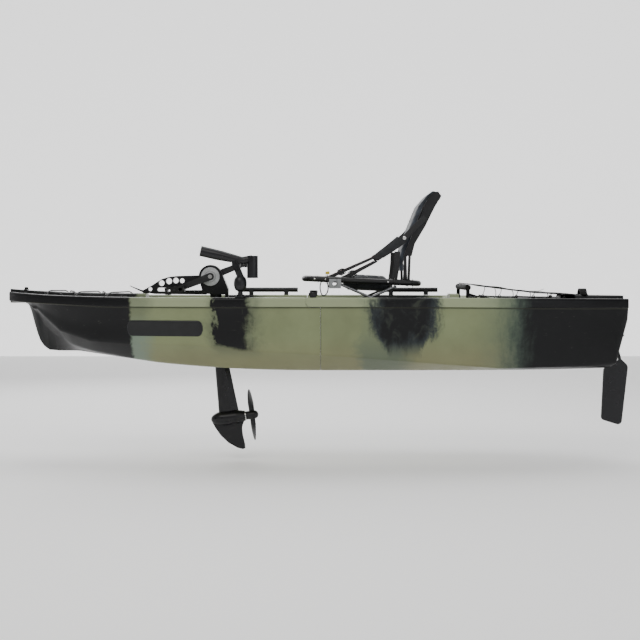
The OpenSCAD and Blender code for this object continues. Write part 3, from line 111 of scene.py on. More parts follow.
class Shader:
    """A material under construction: each method adds one node and gives its output socket."""

    def __init__(self, name):
        self.mat = bpy.data.materials.new(name)
        self.mat.use_nodes = True
        self.tree = self.mat.node_tree
        self.bsdf = self.tree.nodes["Principled BSDF"]
        self.coord = self.node("ShaderNodeTexCoord").outputs["Object"]

    def node(self, kind, **settings):
        n = self.tree.nodes.new(kind)
        for key, value in settings.items():
            setattr(n, key, value)
        return n

    def feed(self, socket, value):
        if isinstance(value, bpy.types.NodeSocket):
            self.tree.links.new(value, socket)
        elif value is not None:
            socket.default_value = value

    def math(self, operation, a, b=None, clamp=False):
        n = self.node("ShaderNodeMath", operation=operation, use_clamp=clamp)
        self.feed(n.inputs[0], a)
        if b is not None:
            self.feed(n.inputs[1], b)
        return n.outputs[0]

    def axes(self):
        n = self.node("ShaderNodeSeparateXYZ")
        self.feed(n.inputs[0], self.coord)
        return n.outputs

    def noise(self, scale, detail=3.0, rough=0.55, vector=None, warp=0.0):
        n = self.node("ShaderNodeTexNoise")
        self.feed(n.inputs["Vector"], vector or self.coord)
        n.inputs["Scale"].default_value = scale
        n.inputs["Detail"].default_value = detail
        n.inputs["Roughness"].default_value = rough
        n.inputs["Distortion"].default_value = warp
        return n.outputs["Fac"]

    def stretched(self, x, y, z):
        n = self.node("ShaderNodeVectorMath", operation="MULTIPLY")
        self.feed(n.inputs[0], self.coord)
        n.inputs[1].default_value = (x, y, z)
        return n.outputs[0]

    def cells(self, scale, vector=None, feature="F1"):
        n = self.node("ShaderNodeTexVoronoi", feature=feature)
        self.feed(n.inputs["Vector"], vector or self.coord)
        n.inputs["Scale"].default_value = scale
        return n.outputs["Distance"]

    def wave(self, scale, direction="X", vector=None, shape="SIN", warp=0.0):
        n = self.node("ShaderNodeTexWave", wave_profile=shape)
        n.bands_direction = direction
        self.feed(n.inputs["Vector"], vector or self.coord)
        n.inputs["Scale"].default_value = scale
        n.inputs["Distortion"].default_value = warp
        return n.outputs["Fac"]

    def ease(self, value, low, high, to_low=0.0, to_high=1.0):
        n = self.node("ShaderNodeMapRange", interpolation_type="SMOOTHSTEP")
        self.feed(n.inputs["Value"], value)
        n.inputs["From Min"].default_value = low
        n.inputs["From Max"].default_value = high
        n.inputs["To Min"].default_value = to_low
        n.inputs["To Max"].default_value = to_high
        return n.outputs["Result"]

    def between(self, value, a0, a1, b0, b1):
        """1 from a1 to b0, falling to 0 at a0 and b1."""
        return self.math("MULTIPLY", self.ease(value, a0, a1), self.ease(value, b0, b1, 1.0, 0.0))

    def mix(self, a, b, share):
        n = self.node("ShaderNodeMix", data_type="RGBA")
        self.feed(n.inputs["Factor"], share)
        for socket, value in ((n.inputs[6], a), (n.inputs[7], b)):
            self.feed(socket, value if isinstance(value, bpy.types.NodeSocket) else (*value, 1))
        return n.outputs[2]

    def bump(self, height, depth, strength=1.0, on=None):
        n = self.node("ShaderNodeBump")
        self.feed(n.inputs["Height"], height)
        n.inputs["Distance"].default_value = depth
        n.inputs["Strength"].default_value = strength
        if on is not None:
            self.feed(n.inputs["Normal"], on)
        return n.outputs["Normal"]

    def done(self, colour, rough, normal=None, metal=0.0, **plain):
        self.feed(self.bsdf.inputs["Base Color"],
                  colour if isinstance(colour, bpy.types.NodeSocket) else (*colour, 1))
        self.feed(self.bsdf.inputs["Roughness"], rough)
        if normal is not None:
            self.feed(self.bsdf.inputs["Normal"], normal)
        self.bsdf.inputs["Metallic"].default_value = metal
        for key, value in plain.items():
            self.bsdf.inputs[key.replace("_", " ")].default_value = value
        return self.mat


def moulded(name, colour, rough=0.45, grain=900, depth=0.0004, worn=1.6):
    """Moulded plastic with a fine grain, soft mottling and paler scuffs."""
    s = Shader(name)
    scuff = s.ease(s.noise(55, 5, 0.7, s.stretched(1, 1, 0.35), 1.5), 0.62, 0.8)
    tone = s.mix(colour, tuple(min(1, c * 1.25 + 0.001) for c in colour), s.noise(14, 4))
    tone = s.mix(tone, tuple(min(1, c * worn + 0.02) for c in colour), s.math("MULTIPLY", scuff, 0.12))
    gloss = s.math("ADD", s.ease(s.noise(30, 4), 0.3, 0.7, rough - 0.06, rough + 0.08),
                   s.math("MULTIPLY", scuff, 0.12))
    return s.done(tone, gloss, s.bump(s.noise(grain, 2), depth, 0.5), Specular_IOR_Level=0.36)


def metal(name, colour, rough=0.3, brushed=(1, 1, 40), grain=220):
    """Brushed or turned metal: fine lines along one direction and faint smudges."""
    s = Shader(name)
    lines = s.noise(grain, 2, 0.6, s.stretched(*brushed))
    smudge = s.noise(18, 4, 0.6)
    tone = s.mix(colour, tuple(c * 0.72 for c in colour), s.ease(lines, 0.3, 0.7))
    gloss = s.math("ADD", s.ease(lines, 0.2, 0.8, rough - 0.08, rough + 0.1),
                   s.ease(smudge, 0.5, 0.75, 0.0, 0.1))
    return s.done(tone, gloss, s.bump(lines, 0.0002, 0.35), metal=1.0)


def turned(name, colour, centre, rough=0.28):
    """Metal disc faced on a lathe: rings about an axis across the hull."""
    s = Shader(name)
    x, y, z = s.axes()
    dx, dz = s.math("SUBTRACT", x, centre[0]), s.math("SUBTRACT", z, centre[2])
    radius = s.math("SQRT", s.math("ADD", s.math("MULTIPLY", dx, dx), s.math("MULTIPLY", dz, dz)))
    rings = s.math("SINE", s.math("MULTIPLY", radius, 4200.0))
    smudge = s.noise(26, 4, 0.6)
    tone = s.mix(colour, tuple(c * 0.62 for c in colour), s.ease(smudge, 0.35, 0.75))
    tone = s.mix(tone, (0.08, 0.08, 0.085), s.between(radius, 0.0255, 0.0262, 0.0268, 0.0276))
    return s.done(tone, s.ease(smudge, 0.3, 0.7, rough, rough + 0.16),
                  s.bump(rings, 0.00008, 0.3), metal=1.0)


def coated(name, colour=(0.006, 0.006, 0.007), rough=0.36):
    """Powder-coated tube: orange peel, dust and a few bright chips."""
    s = Shader(name)
    peel = s.noise(420, 3, 0.6)
    dust = s.ease(s.noise(22, 5, 0.65), 0.5, 0.8)
    chips = s.ease(s.cells(70), 0.0, 0.05, 1.0, 0.0)
    chips = s.math("MULTIPLY", chips, s.ease(s.noise(9, 2), 0.56, 0.62))
    tone = s.mix(colour, (0.03, 0.03, 0.034), s.math("MULTIPLY", dust, 0.3))
    tone = s.mix(tone, (0.22, 0.22, 0.22), s.math("MULTIPLY", chips, 0.6))
    return s.done(tone, s.math("ADD", s.math("MULTIPLY", dust, 0.15), rough),
                  s.bump(peel, 0.00025, 0.45), Coat_Weight=0.1, Coat_Roughness=0.3,
                  Specular_IOR_Level=0.36)


def woven(name, colour, light, thread=900.0, rough=0.85, blue=0.0):
    """Woven cloth: crossing threads, slubs and faded high spots."""
    s = Shader(name)
    over = s.wave(thread / 6.283, "DIAGONAL", s.stretched(1, 0.6, 0.6))
    across = s.wave(thread / 6.283, "DIAGONAL", s.stretched(-1, 0.6, 0.6))
    weave = s.math("MAXIMUM", over, across)
    fade = s.ease(s.noise(16, 5, 0.65), 0.35, 0.8)
    slub = s.noise(380, 3, 0.7, s.stretched(0.25, 1, 1))
    tone = s.mix(colour, light, s.math("MULTIPLY", fade, 0.7))
    tone = s.mix(tone, tuple(c * 0.45 for c in colour), s.ease(weave, 0.1, 0.7, 0.55, 0.0))
    normal = s.bump(weave, 0.0006, 0.5)
    return s.done(tone, rough, s.bump(slub, 0.0005, 0.4, normal),
                  Sheen_Weight=0.35, Sheen_Roughness=0.5)


def webbing(name, colour, direction="Z", rough=0.7):
    """Flat strap: ribs along the strap, darker stitch lines near its edges."""
    s = Shader(name)
    ribs = s.wave(260, direction)
    fuzz = s.noise(700, 3, 0.7)
    tone = s.mix(colour, tuple(min(1, c * 2.2 + 0.01) for c in colour), s.ease(fuzz, 0.4, 0.8))
    tone = s.mix(tone, tuple(c * 0.5 for c in colour), s.ease(ribs, 0.0, 0.5, 0.6, 0.0))
    return s.done(tone, rough, s.bump(ribs, 0.0007, 0.5, s.bump(fuzz, 0.0003, 0.4)),
                  Sheen_Weight=0.25, Sheen_Roughness=0.5)


def rubber(name, colour=(0.012, 0.012, 0.012)):
    """Soft rubber grip: fine ribs, dust in the grooves."""
    s = Shader(name)
    ribs = s.wave(95, "X")
    dust = s.noise(120, 4, 0.7)
    tone = s.mix(colour, (0.03, 0.029, 0.027), s.ease(dust, 0.5, 0.9))
    return s.done(tone, s.ease(dust, 0.3, 0.7, 0.6, 0.85), s.bump(ribs, 0.0012, 0.5),
                  Specular_IOR_Level=0.1)


SAND = (0.212, 0.246, 0.129)
SAND_DEEP = (0.165, 0.188, 0.098)
SAND_PALE = (0.295, 0.335, 0.205)
BROWN = (0.20, 0.175, 0.095)
BLACK = (0.0042, 0.0045, 0.0052)
SLATE = (0.028, 0.036, 0.040)
TEAL = (0.085, 0.115, 0.085)
TEAL_DEEP = (0.035, 0.055, 0.048)
TEAL_PALE = (0.165, 0.215, 0.17)


def hull_material(name):
    """Rotomoulded plastic in sand and black, with the colours bled into each other."""
    s = Shader(name)
    x, y, z = s.axes()
    broad = s.math("SUBTRACT", s.noise(5.5, 4, 0.6, warp=0.8), 0.5)
    fine = s.math("SUBTRACT", s.noise(26, 5, 0.68, warp=1.2), 0.5)
    drip = s.math("SUBTRACT", s.noise(15, 4, 0.6, s.stretched(1.6, 1.6, 0.5)), 0.5)
    soft = s.math("ADD", x, s.math("ADD", s.math("MULTIPLY", broad, 0.16),
                                   s.math("MULTIPLY", fine, 0.07)))
    ragged = s.math("ADD", x, s.math("ADD", s.math("MULTIPLY", drip, 0.13),
                                     s.math("MULTIPLY", fine, 0.07)))
    crisp = s.math("ADD", x, s.math("MULTIPLY", fine, 0.035))
    # height above the rub band's lower edge, which rises to the bow and drops to the stern
    sheer = s.math("ADD", s.ease(x, -1.545, -0.95, 0.021, 0.0), s.ease(x, 0.3, 1.505, 0.0, -0.010))
    over = s.math("SUBTRACT", s.math("SUBTRACT", z, sheer), 0.316)
    tone = s.mix(SAND, SAND_DEEP, s.ease(s.noise(3.4, 4, 0.6), 0.3, 0.75))
    tone = s.mix(tone, BROWN, s.math("MULTIPLY", s.ease(z, 0.03, 0.2, 1.0, 0.0), 0.5))
    tone = s.mix(tone, SAND_PALE, s.math("MULTIPLY", s.ease(over, -0.001, 0.003), 0.85))
    # middle bow band: black, ragged after edge, ends just above the bilge crease
    crease = s.ease(x, -0.532, -0.332, 0.128, 0.098)
    above = s.math("SUBTRACT", s.math("ADD", z, s.math("MULTIPLY", fine, 0.02)), crease)
    band = s.math("MULTIPLY", s.between(ragged, -0.517, -0.497, -0.372, -0.317), s.ease(above, 0.0, 0.02))
    stain = s.math("MULTIPLY", s.between(soft, -0.572, -0.492, -0.342, -0.242), s.ease(z, 0.05, 0.14))
    tone = s.mix(tone, SLATE, s.math("MULTIPLY", stain, 0.45))
    tone = s.mix(tone, BLACK, band)
    # seat band: slate with a black heart, narrowing to a tail low down
    width = s.ease(z, 0.06, 0.22, 0.35, 1.0)
    reach = s.math("DIVIDE", s.math("SUBTRACT", ragged, 0.395), width)
    seat = s.between(reach, -0.185, -0.12, 0.14, 0.20)
    core = s.math("MULTIPLY", s.between(reach, -0.16, -0.08, 0.10, 0.17),
                  s.ease(s.math("ADD", z, s.math("MULTIPLY", drip, 0.22)), 0.10, 0.20))
    patch = s.ease(s.noise(11, 4, 0.6, warp=1.0), 0.32, 0.52, 0.72, 1.0)
    tone = s.mix(tone, TEAL, s.math("MULTIPLY", s.between(soft, 0.16, 0.22, 0.36, 0.50),
                                    s.ease(z, 0.05, 0.25, 0.75, 0.2)))
    tone = s.mix(tone, SLATE, s.math("MULTIPLY", s.math("MULTIPLY", seat, patch), s.ease(z, 0.05, 0.16)))
    tone = s.mix(tone, BLACK, s.math("MULTIPLY", core, patch))
    # stern: teal stain first, then black
    tone = s.mix(tone, TEAL, s.math("MULTIPLY", s.ease(soft, 0.70, 0.93), 0.55))
    tone = s.mix(tone, TEAL_DEEP, s.math("MULTIPLY", s.ease(ragged, 0.83, 0.97), 0.85))
    tone = s.mix(tone, BLACK, s.ease(ragged, 0.90, 1.03))
    # bow: black up to a crisp edge, with a stain low down behind it
    low = s.math("MULTIPLY", s.between(soft, -0.95, -0.92, -0.86, -0.76),
                 s.ease(z, 0.16, 0.30, 1.0, 0.0))
    tone = s.mix(tone, TEAL_PALE, s.math("MULTIPLY", low, 0.9))
    tone = s.mix(tone, SLATE, s.math("MULTIPLY", s.between(soft, -0.94, -0.90, -0.86, -0.74),
                                     s.ease(z, 0.2, 0.3, 0.0, 0.35)))
    tone = s.mix(tone, BLACK, s.ease(crisp, -0.915, -0.895, 1.0, 0.0))
    # painted shadow: a dark line just under the rub band's overhanging lower edge
    tone = s.mix(tone, (0.03, 0.032, 0.022), s.math("MULTIPLY", s.between(over, -0.009, -0.004, -0.002, 0.0), 0.75))
    # sun-bleached specks and fine scratches that run along the hull
    scratch = s.ease(s.noise(60, 4, 0.75, s.stretched(0.12, 1.5, 1.5)), 0.63, 0.75)
    tone = s.mix(tone, (0.55, 0.53, 0.45), s.math("MULTIPLY", scratch, 0.07))
    speck = s.ease(s.cells(420), 0.0, 0.16, 1.0, 0.0)
    tone = s.mix(tone, (0.2, 0.19, 0.14), s.math("MULTIPLY", speck, 0.12))
    gloss = s.math("ADD", s.ease(s.noise(8, 4, 0.6), 0.3, 0.7, 0.33, 0.43),
                   s.math("MULTIPLY", scratch, 0.15))
    peel = s.bump(s.noise(300, 3, 0.6), 0.0005, 0.35)
    return s.done(tone, gloss, s.bump(s.noise(9, 3), 0.004, 0.25, peel), Specular_IOR_Level=0.22)


for stage, glow in ((floor, 0.10), (backdrop, 1.1)):
    s = Shader(stage.name)
    pale = s.mix((0.93, 0.93, 0.93), (0.9, 0.9, 0.9), s.noise(0.7))
    stage.data.materials.append(s.done(pale, 0.85, Emission_Color=(1, 1, 1, 1), Emission_Strength=glow))

HULL = hull_material("hull_plastic")
BLACK_PLASTIC = moulded("black_plastic", (0.008, 0.008, 0.009))
SATIN_PLASTIC = moulded("satin_plastic", (0.006, 0.006, 0.0075), 0.32, 500, 0.0002)
GREY_PLASTIC = moulded("grey_plastic", (0.022, 0.023, 0.026), 0.5)
RUBBER = rubber("rubber_grip")
STEEL = metal("steel", (0.62, 0.62, 0.61), 0.22)
DISC = turned("turned_aluminium", (0.68, 0.69, 0.70), (-0.545, 0, 0.458))
ALLOY = metal("alloy", (0.20, 0.205, 0.215), 0.4, (1, 1, 14))
BRACKET = metal("bracket_alloy", (0.42, 0.43, 0.44), 0.36, (1, 1, 20))
BLACK_ALLOY = metal("anodised_black", (0.035, 0.035, 0.038), 0.38, (0.2, 1, 1))
TUBE = coated("powder_coat")
CRANK = coated("crank_coat", (0.02, 0.02, 0.022), 0.42)
CLOTH = woven("seat_cloth", (0.014, 0.016, 0.019), (0.045, 0.052, 0.064))
BACK_CLOTH = woven("back_cloth", (0.024, 0.029, 0.038), (0.085, 0.105, 0.135))
PAD_CLOTH = woven("strap_pad_cloth", (0.010, 0.011, 0.013), (0.03, 0.034, 0.04))
SLING = woven("sling_mesh", (0.022, 0.024, 0.028), (0.06, 0.066, 0.075), 620)
COVER = woven("cover_cloth", (0.014, 0.016, 0.018), (0.045, 0.052, 0.058), 700)
STRAP = webbing("black_webbing", (0.008, 0.008, 0.0095))
EDGE = webbing("strap_edging", (0.16, 0.012, 0.012))
BRAID = woven("bungee_braid", (0.007, 0.007, 0.008), (0.022, 0.024, 0.028), 1500)
YELLOW = webbing("yellow_tab", (0.62, 0.42, 0.03))
BADGE = moulded("badge_plastic", (0.005, 0.0055, 0.006), 0.34, 700, 0.0001)
FOAM = moulded("gasket_foam", (0.006, 0.006, 0.006), 0.85, 1400, 0.0006)
SEAM = moulded("piping", (0.012, 0.013, 0.016), 0.6)

# ------------------------------------------------------------------ hull form, metres

BOW_LEN, STERN_LEN, BEAM, DEPTH = 1.545, 1.505, 0.840, 0.360
TIP_HALF, STERN_HALF = 0.040, 0.190
BOW_SHEER, STERN_DROP, BOW_ROCKER = 0.023, 0.010, 0.088
CHINE_HALF, BAND_H, BAND_OUT, GUNWALE_W = 0.270, 0.044, 0.012, 0.055
BOW_END, SEAM_GAP, LIP_LEN = 0.002, 0.003, 0.066
STERN_START = BOW_END + SEAM_GAP
FLOOR_Z_IN, LEDGE_Z, CONSOLE_Z, TANK_Z = 0.105, 0.250, 0.200, 0.220
BOW_DECK_X, PEDESTAL_X, CONSOLE_END = 0.950, 0.862, 0.200
COCKPIT_X, TANK_X, TANK_END = 0.640, 0.690, 1.190
RAMP, CROWN, RECESS, WALL = 0.014, 0.014, 0.010, 0.004
SIDE_EDGE = 0.0035           # how far a ramp's corners are eased along the hull

STEM = [(89, 0.908), (104, 0.786), (119, 0.625), (135, 0.472), (147, 0.386),
        (166, 0.311), (193, 0.256), (236, 0.247)]
TRANSOM = [(0, 0.66), (5, 0.61), (60, 0.07), (85, 0.028)]
CHINE = [(103, 0.894), (151, 0.761), (178, 0.644), (216, 0.542), (270, 0.444),
         (325, 0.353), (379, 0.303), (433, 0.264), (600, 0.18), (800, 0.1), (1100, 0)]
CREASE = [(-0.902, 0.833), (-0.825, 0.55), (-0.72, 0.42), (-0.58, 0.39), (-0.39, 0.375),
          (-0.246, 0.305), (0, 0.25), (0.25, 0.17), (0.57, 0.06), (0.86, 0.07), (1, 0.1)]
CREASE_SHARE = [(-1, 0.7), (-0.9, 0.75), (-0.7, 0.88), (-0.4, 0.95), (0.3, 0.95), (1, 0.92)]
KEEL_HALF = [(-0.95, 0.005), (-0.85, 0.008), (-0.6, 0.060), (1, 0.060)]
FLARE = [(-1, 0.001), (-0.9, 0.012), (-0.7, 0.012), (-0.45, 0)]


def lookup(x, table):
    if x <= table[0][0]:
        return table[0][1]
    for (x0, y0), (x1, y1) in zip(table, table[1:]):
        if x <= x1:
            return y0 + (y1 - y0) * (x - x0) / (x1 - x0)
    return table[-1][1]


def along(x):
    return x / BOW_LEN if x < 0 else x / STERN_LEN


def half_beam(x):
    a = along(x)
    if x < 0:
        return TIP_HALF + (BEAM / 2 - TIP_HALF) * max(0, 1 - (-a) ** 3) ** 0.85
    return BEAM / 2 - (BEAM / 2 - STERN_HALF) * a ** 3.1


def gunwale_z(x):
    a = along(x)
    return DEPTH + (BOW_SHEER * (-a) ** 6 if x < 0 else -STERN_DROP * a ** 2)


def side_half(x):
    return half_beam(x) - BAND_OUT


def band_z(x):
    return gunwale_z(x) - BAND_H


def keel_line(x):
    a = along(x)
    if x < 0:
        if x + BOW_LEN < 0.236:
            return DEPTH * lookup((x + BOW_LEN) * 1000, STEM)
        return min(BOW_ROCKER, BOW_ROCKER * (-a / 0.777) ** 2.1)
    if STERN_LEN - x < 0.085:
        return DEPTH * lookup((STERN_LEN - x) * 1000, TRANSOM)
    return 0.028 * DEPTH * a ** 5


def keel_z(x):
    return min(keel_line(x), band_z(x) - 0.004)


def chine_z(x):
    return min(band_z(x) - 0.003, max(keel_z(x) + 0.006, DEPTH * lookup((x + BOW_LEN) * 1000, CHINE)))


def chine_y(x):
    if x < 0:
        return max(0.35 * side_half(x),
                   CHINE_HALF * max(0, 1 - (-x / (BOW_LEN - 0.095)) ** 3) ** 0.8)
    return CHINE_HALF * (half_beam(x) / half_beam(0)) ** 0.7


def crease_z(x):
    return min(band_z(x) - 0.002, max(chine_z(x) + 0.004, DEPTH * lookup(along(x), CREASE)))


def crease_y(x):
    return side_half(x) * lookup(along(x), CREASE_SHARE)


def eased(x, low, high):
    """0 to 1 over a ramp, with its two corners rounded."""
    t = (x - low + SIDE_EDGE) / (high - low + 2 * SIDE_EDGE)
    t = min(1, max(0, t))
    return t * t * (3 - 2 * t)


def in_cockpit(x, start):
    return eased(x, start, start + RAMP) * (1 - eased(x, COCKPIT_X - RAMP, COCKPIT_X))


def in_tank(x):
    return eased(x, TANK_X, TANK_X + RAMP) * (1 - eased(x, TANK_END - RAMP, TANK_END))


def lerp(a, b, t):
    return a + (b - a) * t


def side_deck_z(x):
    return lerp(gunwale_z(x) - RECESS, LEDGE_Z, in_cockpit(x, -BOW_DECK_X))


def floor_top(x):
    return lerp(lerp(gunwale_z(x) - RECESS / 2, FLOOR_Z_IN, in_cockpit(x, -BOW_DECK_X)),
                TANK_Z, in_tank(x))


def console_top(x):
    return lerp(CONSOLE_Z, FLOOR_Z_IN, eased(x, -CONSOLE_END, -CONSOLE_END + RAMP))


def centre_top(x):
    return lerp(lerp(gunwale_z(x) + CROWN, console_top(x), in_cockpit(x, -PEDESTAL_X)),
                TANK_Z, in_tank(x))


def gunwale_in(x):
    return half_beam(x) - min(GUNWALE_W, 0.45 * half_beam(x))


def ledge_out(x):
    return gunwale_in(x) - min(0.025, 0.15 * gunwale_in(x))


def ledge_in(x):
    return min(0.240, 0.8 * ledge_out(x))


def floor_out(x):
    return ledge_in(x) - min(0.012, 0.05 * ledge_in(x))


def console_foot(x):
    return min(0.085, 0.45 * gunwale_in(x))


def console_edge(x):
    return min(0.075, 0.38 * gunwale_in(x))


def corners(x):
    """Half section: (y, z, rounding radius) of each corner, from the keel up and in over the deck."""
    ky = lookup(along(x), KEEL_HALF)
    small = min(1, half_beam(x) / 0.25)
    my = (crease_y(x) + side_half(x)) / 2 - lookup(along(x), FLARE)
    mz = (crease_z(x) + band_z(x)) / 2
    gz = gunwale_z(x)
    return [(0, keel_z(x), 0), (ky, keel_z(x), 0.03 * small), (chine_y(x), chine_z(x), 0.016),
            (crease_y(x), crease_z(x), 0.012), (my, mz, 0.05), (side_half(x), band_z(x), 0.0025),
            (half_beam(x), band_z(x), 0.004), (half_beam(x), gz - 0.008, 0.004),
            (half_beam(x) - 0.006, gz, 0.005), (gunwale_in(x), gz, 0.008 * small),
            (ledge_out(x), side_deck_z(x), 0.012 * small), (ledge_in(x), side_deck_z(x), 0.009 * small),
            (floor_out(x), floor_top(x), 0.012 * small), (console_foot(x), floor_top(x), 0.008 * small),
            (console_edge(x), centre_top(x), 0.010 * small), (0, centre_top(x), 0)]


def rounded_half(x, steps=4):
    pts = corners(x)
    out = [pts[0][:2]]
    for i in range(1, len(pts) - 1):
        a, p, b = Vector(pts[i - 1][:2]), Vector(pts[i][:2]), Vector(pts[i + 1][:2])
        la, lb = (a - p).length, (b - p).length
        r = min(pts[i][2], 0.45 * la, 0.45 * lb)
        pa = p + (a - p) * (r / la if la > 1e-9 else 0)
        pb = p + (b - p) * (r / lb if lb > 1e-9 else 0)
        for k in range(steps + 1):
            t = k / steps
            q = pa * (1 - t) ** 2 + p * 2 * t * (1 - t) + pb * t ** 2
            out.append((q.x, q.y))
    out.append(pts[-1][:2])
    return out


def stations(low, high, step, marks):
    xs = {round(low, 5), round(high, 5)}
    n = max(1, int(round((high - low) / step)))
    xs |= {round(low + (high - low) * i / n, 5) for i in range(n + 1)}
    for m in marks:
        for d in (0, -SIDE_EDGE, SIDE_EDGE, -0.5 * SIDE_EDGE, 0.5 * SIDE_EDGE):
            if low < m + d < high:
                xs.add(round(m + d, 5))
        if low < m + RAMP / 2 < high:
            xs.add(round(m + RAMP / 2, 5))
    xs = sorted(xs)
    kept = [xs[0]]
    for v in xs[1:]:
        if v - kept[-1] > 0.0012:
            kept.append(v)
    kept[-1] = xs[-1]
    return kept


def section_loop(x, inset):
    """Whole section as (y, z) points, moved inwards by the inset."""
    half = rounded_half(x)
    loop = [Vector(p) for p in half] + [Vector((-y, z)) for y, z in half[-2:0:-1]]
    moved = []
    for k, p in enumerate(loop):
        run = loop[(k + 1) % len(loop)] - loop[k - 1]
        moved.append(p + Vector((-run.y, run.x)).normalized() * inset)
    return moved


def hull_loft(name, xs, inset=0.0):
    loops = [section_loop(x, inset) for x in xs]
    n = len(loops[0])
    verts, faces = [], []
    for x, loop in zip(xs, loops):
        verts += [(x, p.x, p.y) for p in loop]
    for i in range(len(xs) - 1):
        for j in range(n):
            a, b = i * n + j, i * n + (j + 1) % n
            faces.append((a, b, b + n, a + n))
    for base, flip in ((0, True), ((len(xs) - 1) * n, False)):
        loop = [base + j for j in range(n)]
        faces.append(tuple(reversed(loop)) if flip else tuple(loop))
    mesh = bpy.data.meshes.new(name)
    mesh.from_pydata(verts, [], faces)
    mesh.update()
    bm = bmesh.new()
    bm.from_mesh(mesh)
    big = [f for f in bm.faces if len(f.verts) > 4]
    bmesh.ops.triangulate(bm, faces=big, ngon_method="EAR_CLIP")
    bmesh.ops.recalc_face_normals(bm, faces=bm.faces)
    bm.to_mesh(mesh)
    bm.free()
    return new_object(name, mesh)


def prism(outline, low, high, axis="z", steps=1):
    """Closed prism from an outline of (a, b) points, extruded along an axis."""
    verts = []
    for h in (low, high):
        for a, b in outline:
            verts.append({"z": (a, b, h), "y": (a, h, b), "x": (h, a, b)}[axis])
    n = len(outline)
    faces = [tuple(range(n)), tuple(range(2 * n - 1, n - 1, -1))]
    faces += [(i, n + i, n + (i + 1) % n, (i + 1) % n) for i in range(n)]
    mesh = bpy.data.meshes.new("cutter")
    mesh.from_pydata(verts, [], faces)
    bm = bmesh.new()
    bm.from_mesh(mesh)
    bmesh.ops.recalc_face_normals(bm, faces=bm.faces)
    bm.to_mesh(mesh)
    bm.free()
    return new_object("cutter", mesh)


def circle(cx, cy, r, n=40):
    return [(cx + r * math.cos(2 * math.pi * k / n), cy + r * math.sin(2 * math.pi * k / n))
            for k in range(n)]


def settle(obj):
    """Applies the object's modifiers to its mesh."""
    dg = bpy.context.evaluated_depsgraph_get()
    mesh = bpy.data.meshes.new_from_object(obj.evaluated_get(dg))
    old = obj.data
    obj.modifiers.clear()
    obj.data = mesh
    bpy.data.meshes.remove(old)
    return obj


def cut(obj, cutters, keep=False):
    for c in cutters:
        mod = obj.modifiers.new("cut", "BOOLEAN")
        mod.operation = "INTERSECT" if keep else "DIFFERENCE"
        mod.solver = "EXACT"
        mod.object = c
        settle(obj)
        mesh = c.data
        bpy.data.objects.remove(c)
        bpy.data.meshes.remove(mesh)
    return obj


def smooth(obj, angle=38):
    obj.data.polygons.foreach_set("use_smooth", [True] * len(obj.data.polygons))
    obj.data.set_sharp_from_angle(angle=math.radians(angle))
    return obj


def lip_outline(grow):
    """Outline of the stern section's gunwale lips in the XZ plane, with its rounded forward corner."""
    x0, z0, r = -LIP_LEN - grow, band_z(0) - grow, 0.020
    arc = [(x0 + r - r * math.sin(a), z0 + r - r * math.cos(a))
           for a in [math.radians(90 - 9 * k) for k in range(11)]]
    return [(x0, 0.5)] + arc + [(STERN_START + 0.02, z0), (STERN_START + 0.02, 0.5)]


STUD_X, STUD_Y = -LIP_LEN / 2, half_beam(-LIP_LEN / 2) - GUNWALE_W / 2
WELL = (-0.575, -0.285, 0.048)
BOW_MARKS = [-BOW_DECK_X, -BOW_DECK_X + RAMP, -PEDESTAL_X, -PEDESTAL_X + RAMP,
             -CONSOLE_END, -CONSOLE_END + RAMP]
STERN_MARKS = [COCKPIT_X - RAMP, COCKPIT_X, TANK_X, TANK_X + RAMP, TANK_END - RAMP, TANK_END]
stem_marks = [-BOW_LEN + v / 1000 for v, _ in STEM]


def dressed(obj, material, body, *replaced, slot=None):
    obj.data.materials.clear()
    obj.data.materials.append(material)
    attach(obj, body)
    if replaced:
        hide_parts(*replaced)
    return obj


bow = hull_loft("bow_hull_shell", stations(-BOW_LEN, BOW_END, 0.016, BOW_MARKS + stem_marks))
w0, w1, wr = WELL
stadium = ([(w0 + wr - wr * math.sin(a), wr * math.cos(a)) for a in
            [math.radians(180 * k / 16) for k in range(17)]]
           + [(w1 - wr + wr * math.sin(a), -wr * math.cos(a)) for a in
              [math.radians(180 * k / 16) for k in range(17)]])
cut(bow, [prism(stadium, -0.1, 0.3)])
cut(bow, [prism(circle(-0.65, y, 0.017), -0.1, 0.3) for y in (0.16, -0.16)])
cut(bow, [prism(lip_outline(0.0022), -0.6, 0.6, "y")])
dressed(smooth(bow), HULL, "bow_hull", "bow_section")

stern = hull_loft("stern_hull_shell", stations(-LIP_LEN - 0.01, STERN_LEN, 0.016,
                                              STERN_MARKS + [STERN_LEN - v / 1000 for v, _ in TRANSOM]))
r20, zb = 0.020, band_z(0)
keep_lip = ([(-LIP_LEN, 0.5), (-LIP_LEN, zb + r20)]
            + [(-LIP_LEN + r20 - r20 * math.sin(a), zb + r20 - r20 * math.cos(a))
               for a in [math.radians(90 - 9 * k) for k in range(1, 11)]]
            + [(STERN_START, zb), (STERN_START, -0.2), (1.7, -0.2), (1.7, 0.5)])
cut(stern, [prism(keep_lip, -0.6, 0.6, "y")], keep=True)
for side in (-1, 1):
    y = side * STUD_Y
    slot_out = ([(-0.12, y - 0.0065), (-0.12, y + 0.0065), (STUD_X, y + 0.0065)]
                + [(STUD_X + 0.0065 * math.sin(a), y + 0.0065 * math.cos(a))
                   for a in [math.radians(20 * k) for k in range(1, 9)]]
                + [(STUD_X, y - 0.0065)])
    cut(stern, [prism(slot_out, 0.30, 0.42)])
cut(stern, [prism([(1.459, -0.04), (1.459, 0.04), (1.6, 0.04), (1.6, -0.04)], 0.1666, 0.1846)])
cut(stern, [prism(circle(px, side * py, 0.017), -0.1, 0.3) for px, py in ((0.43, 0.16), (1.01, 0.14))
            for side in (-1, 1)])
ROD_TILT = math.radians(18)
ROD_Y = (ledge_in(0.79) + ledge_out(0.79)) / 2
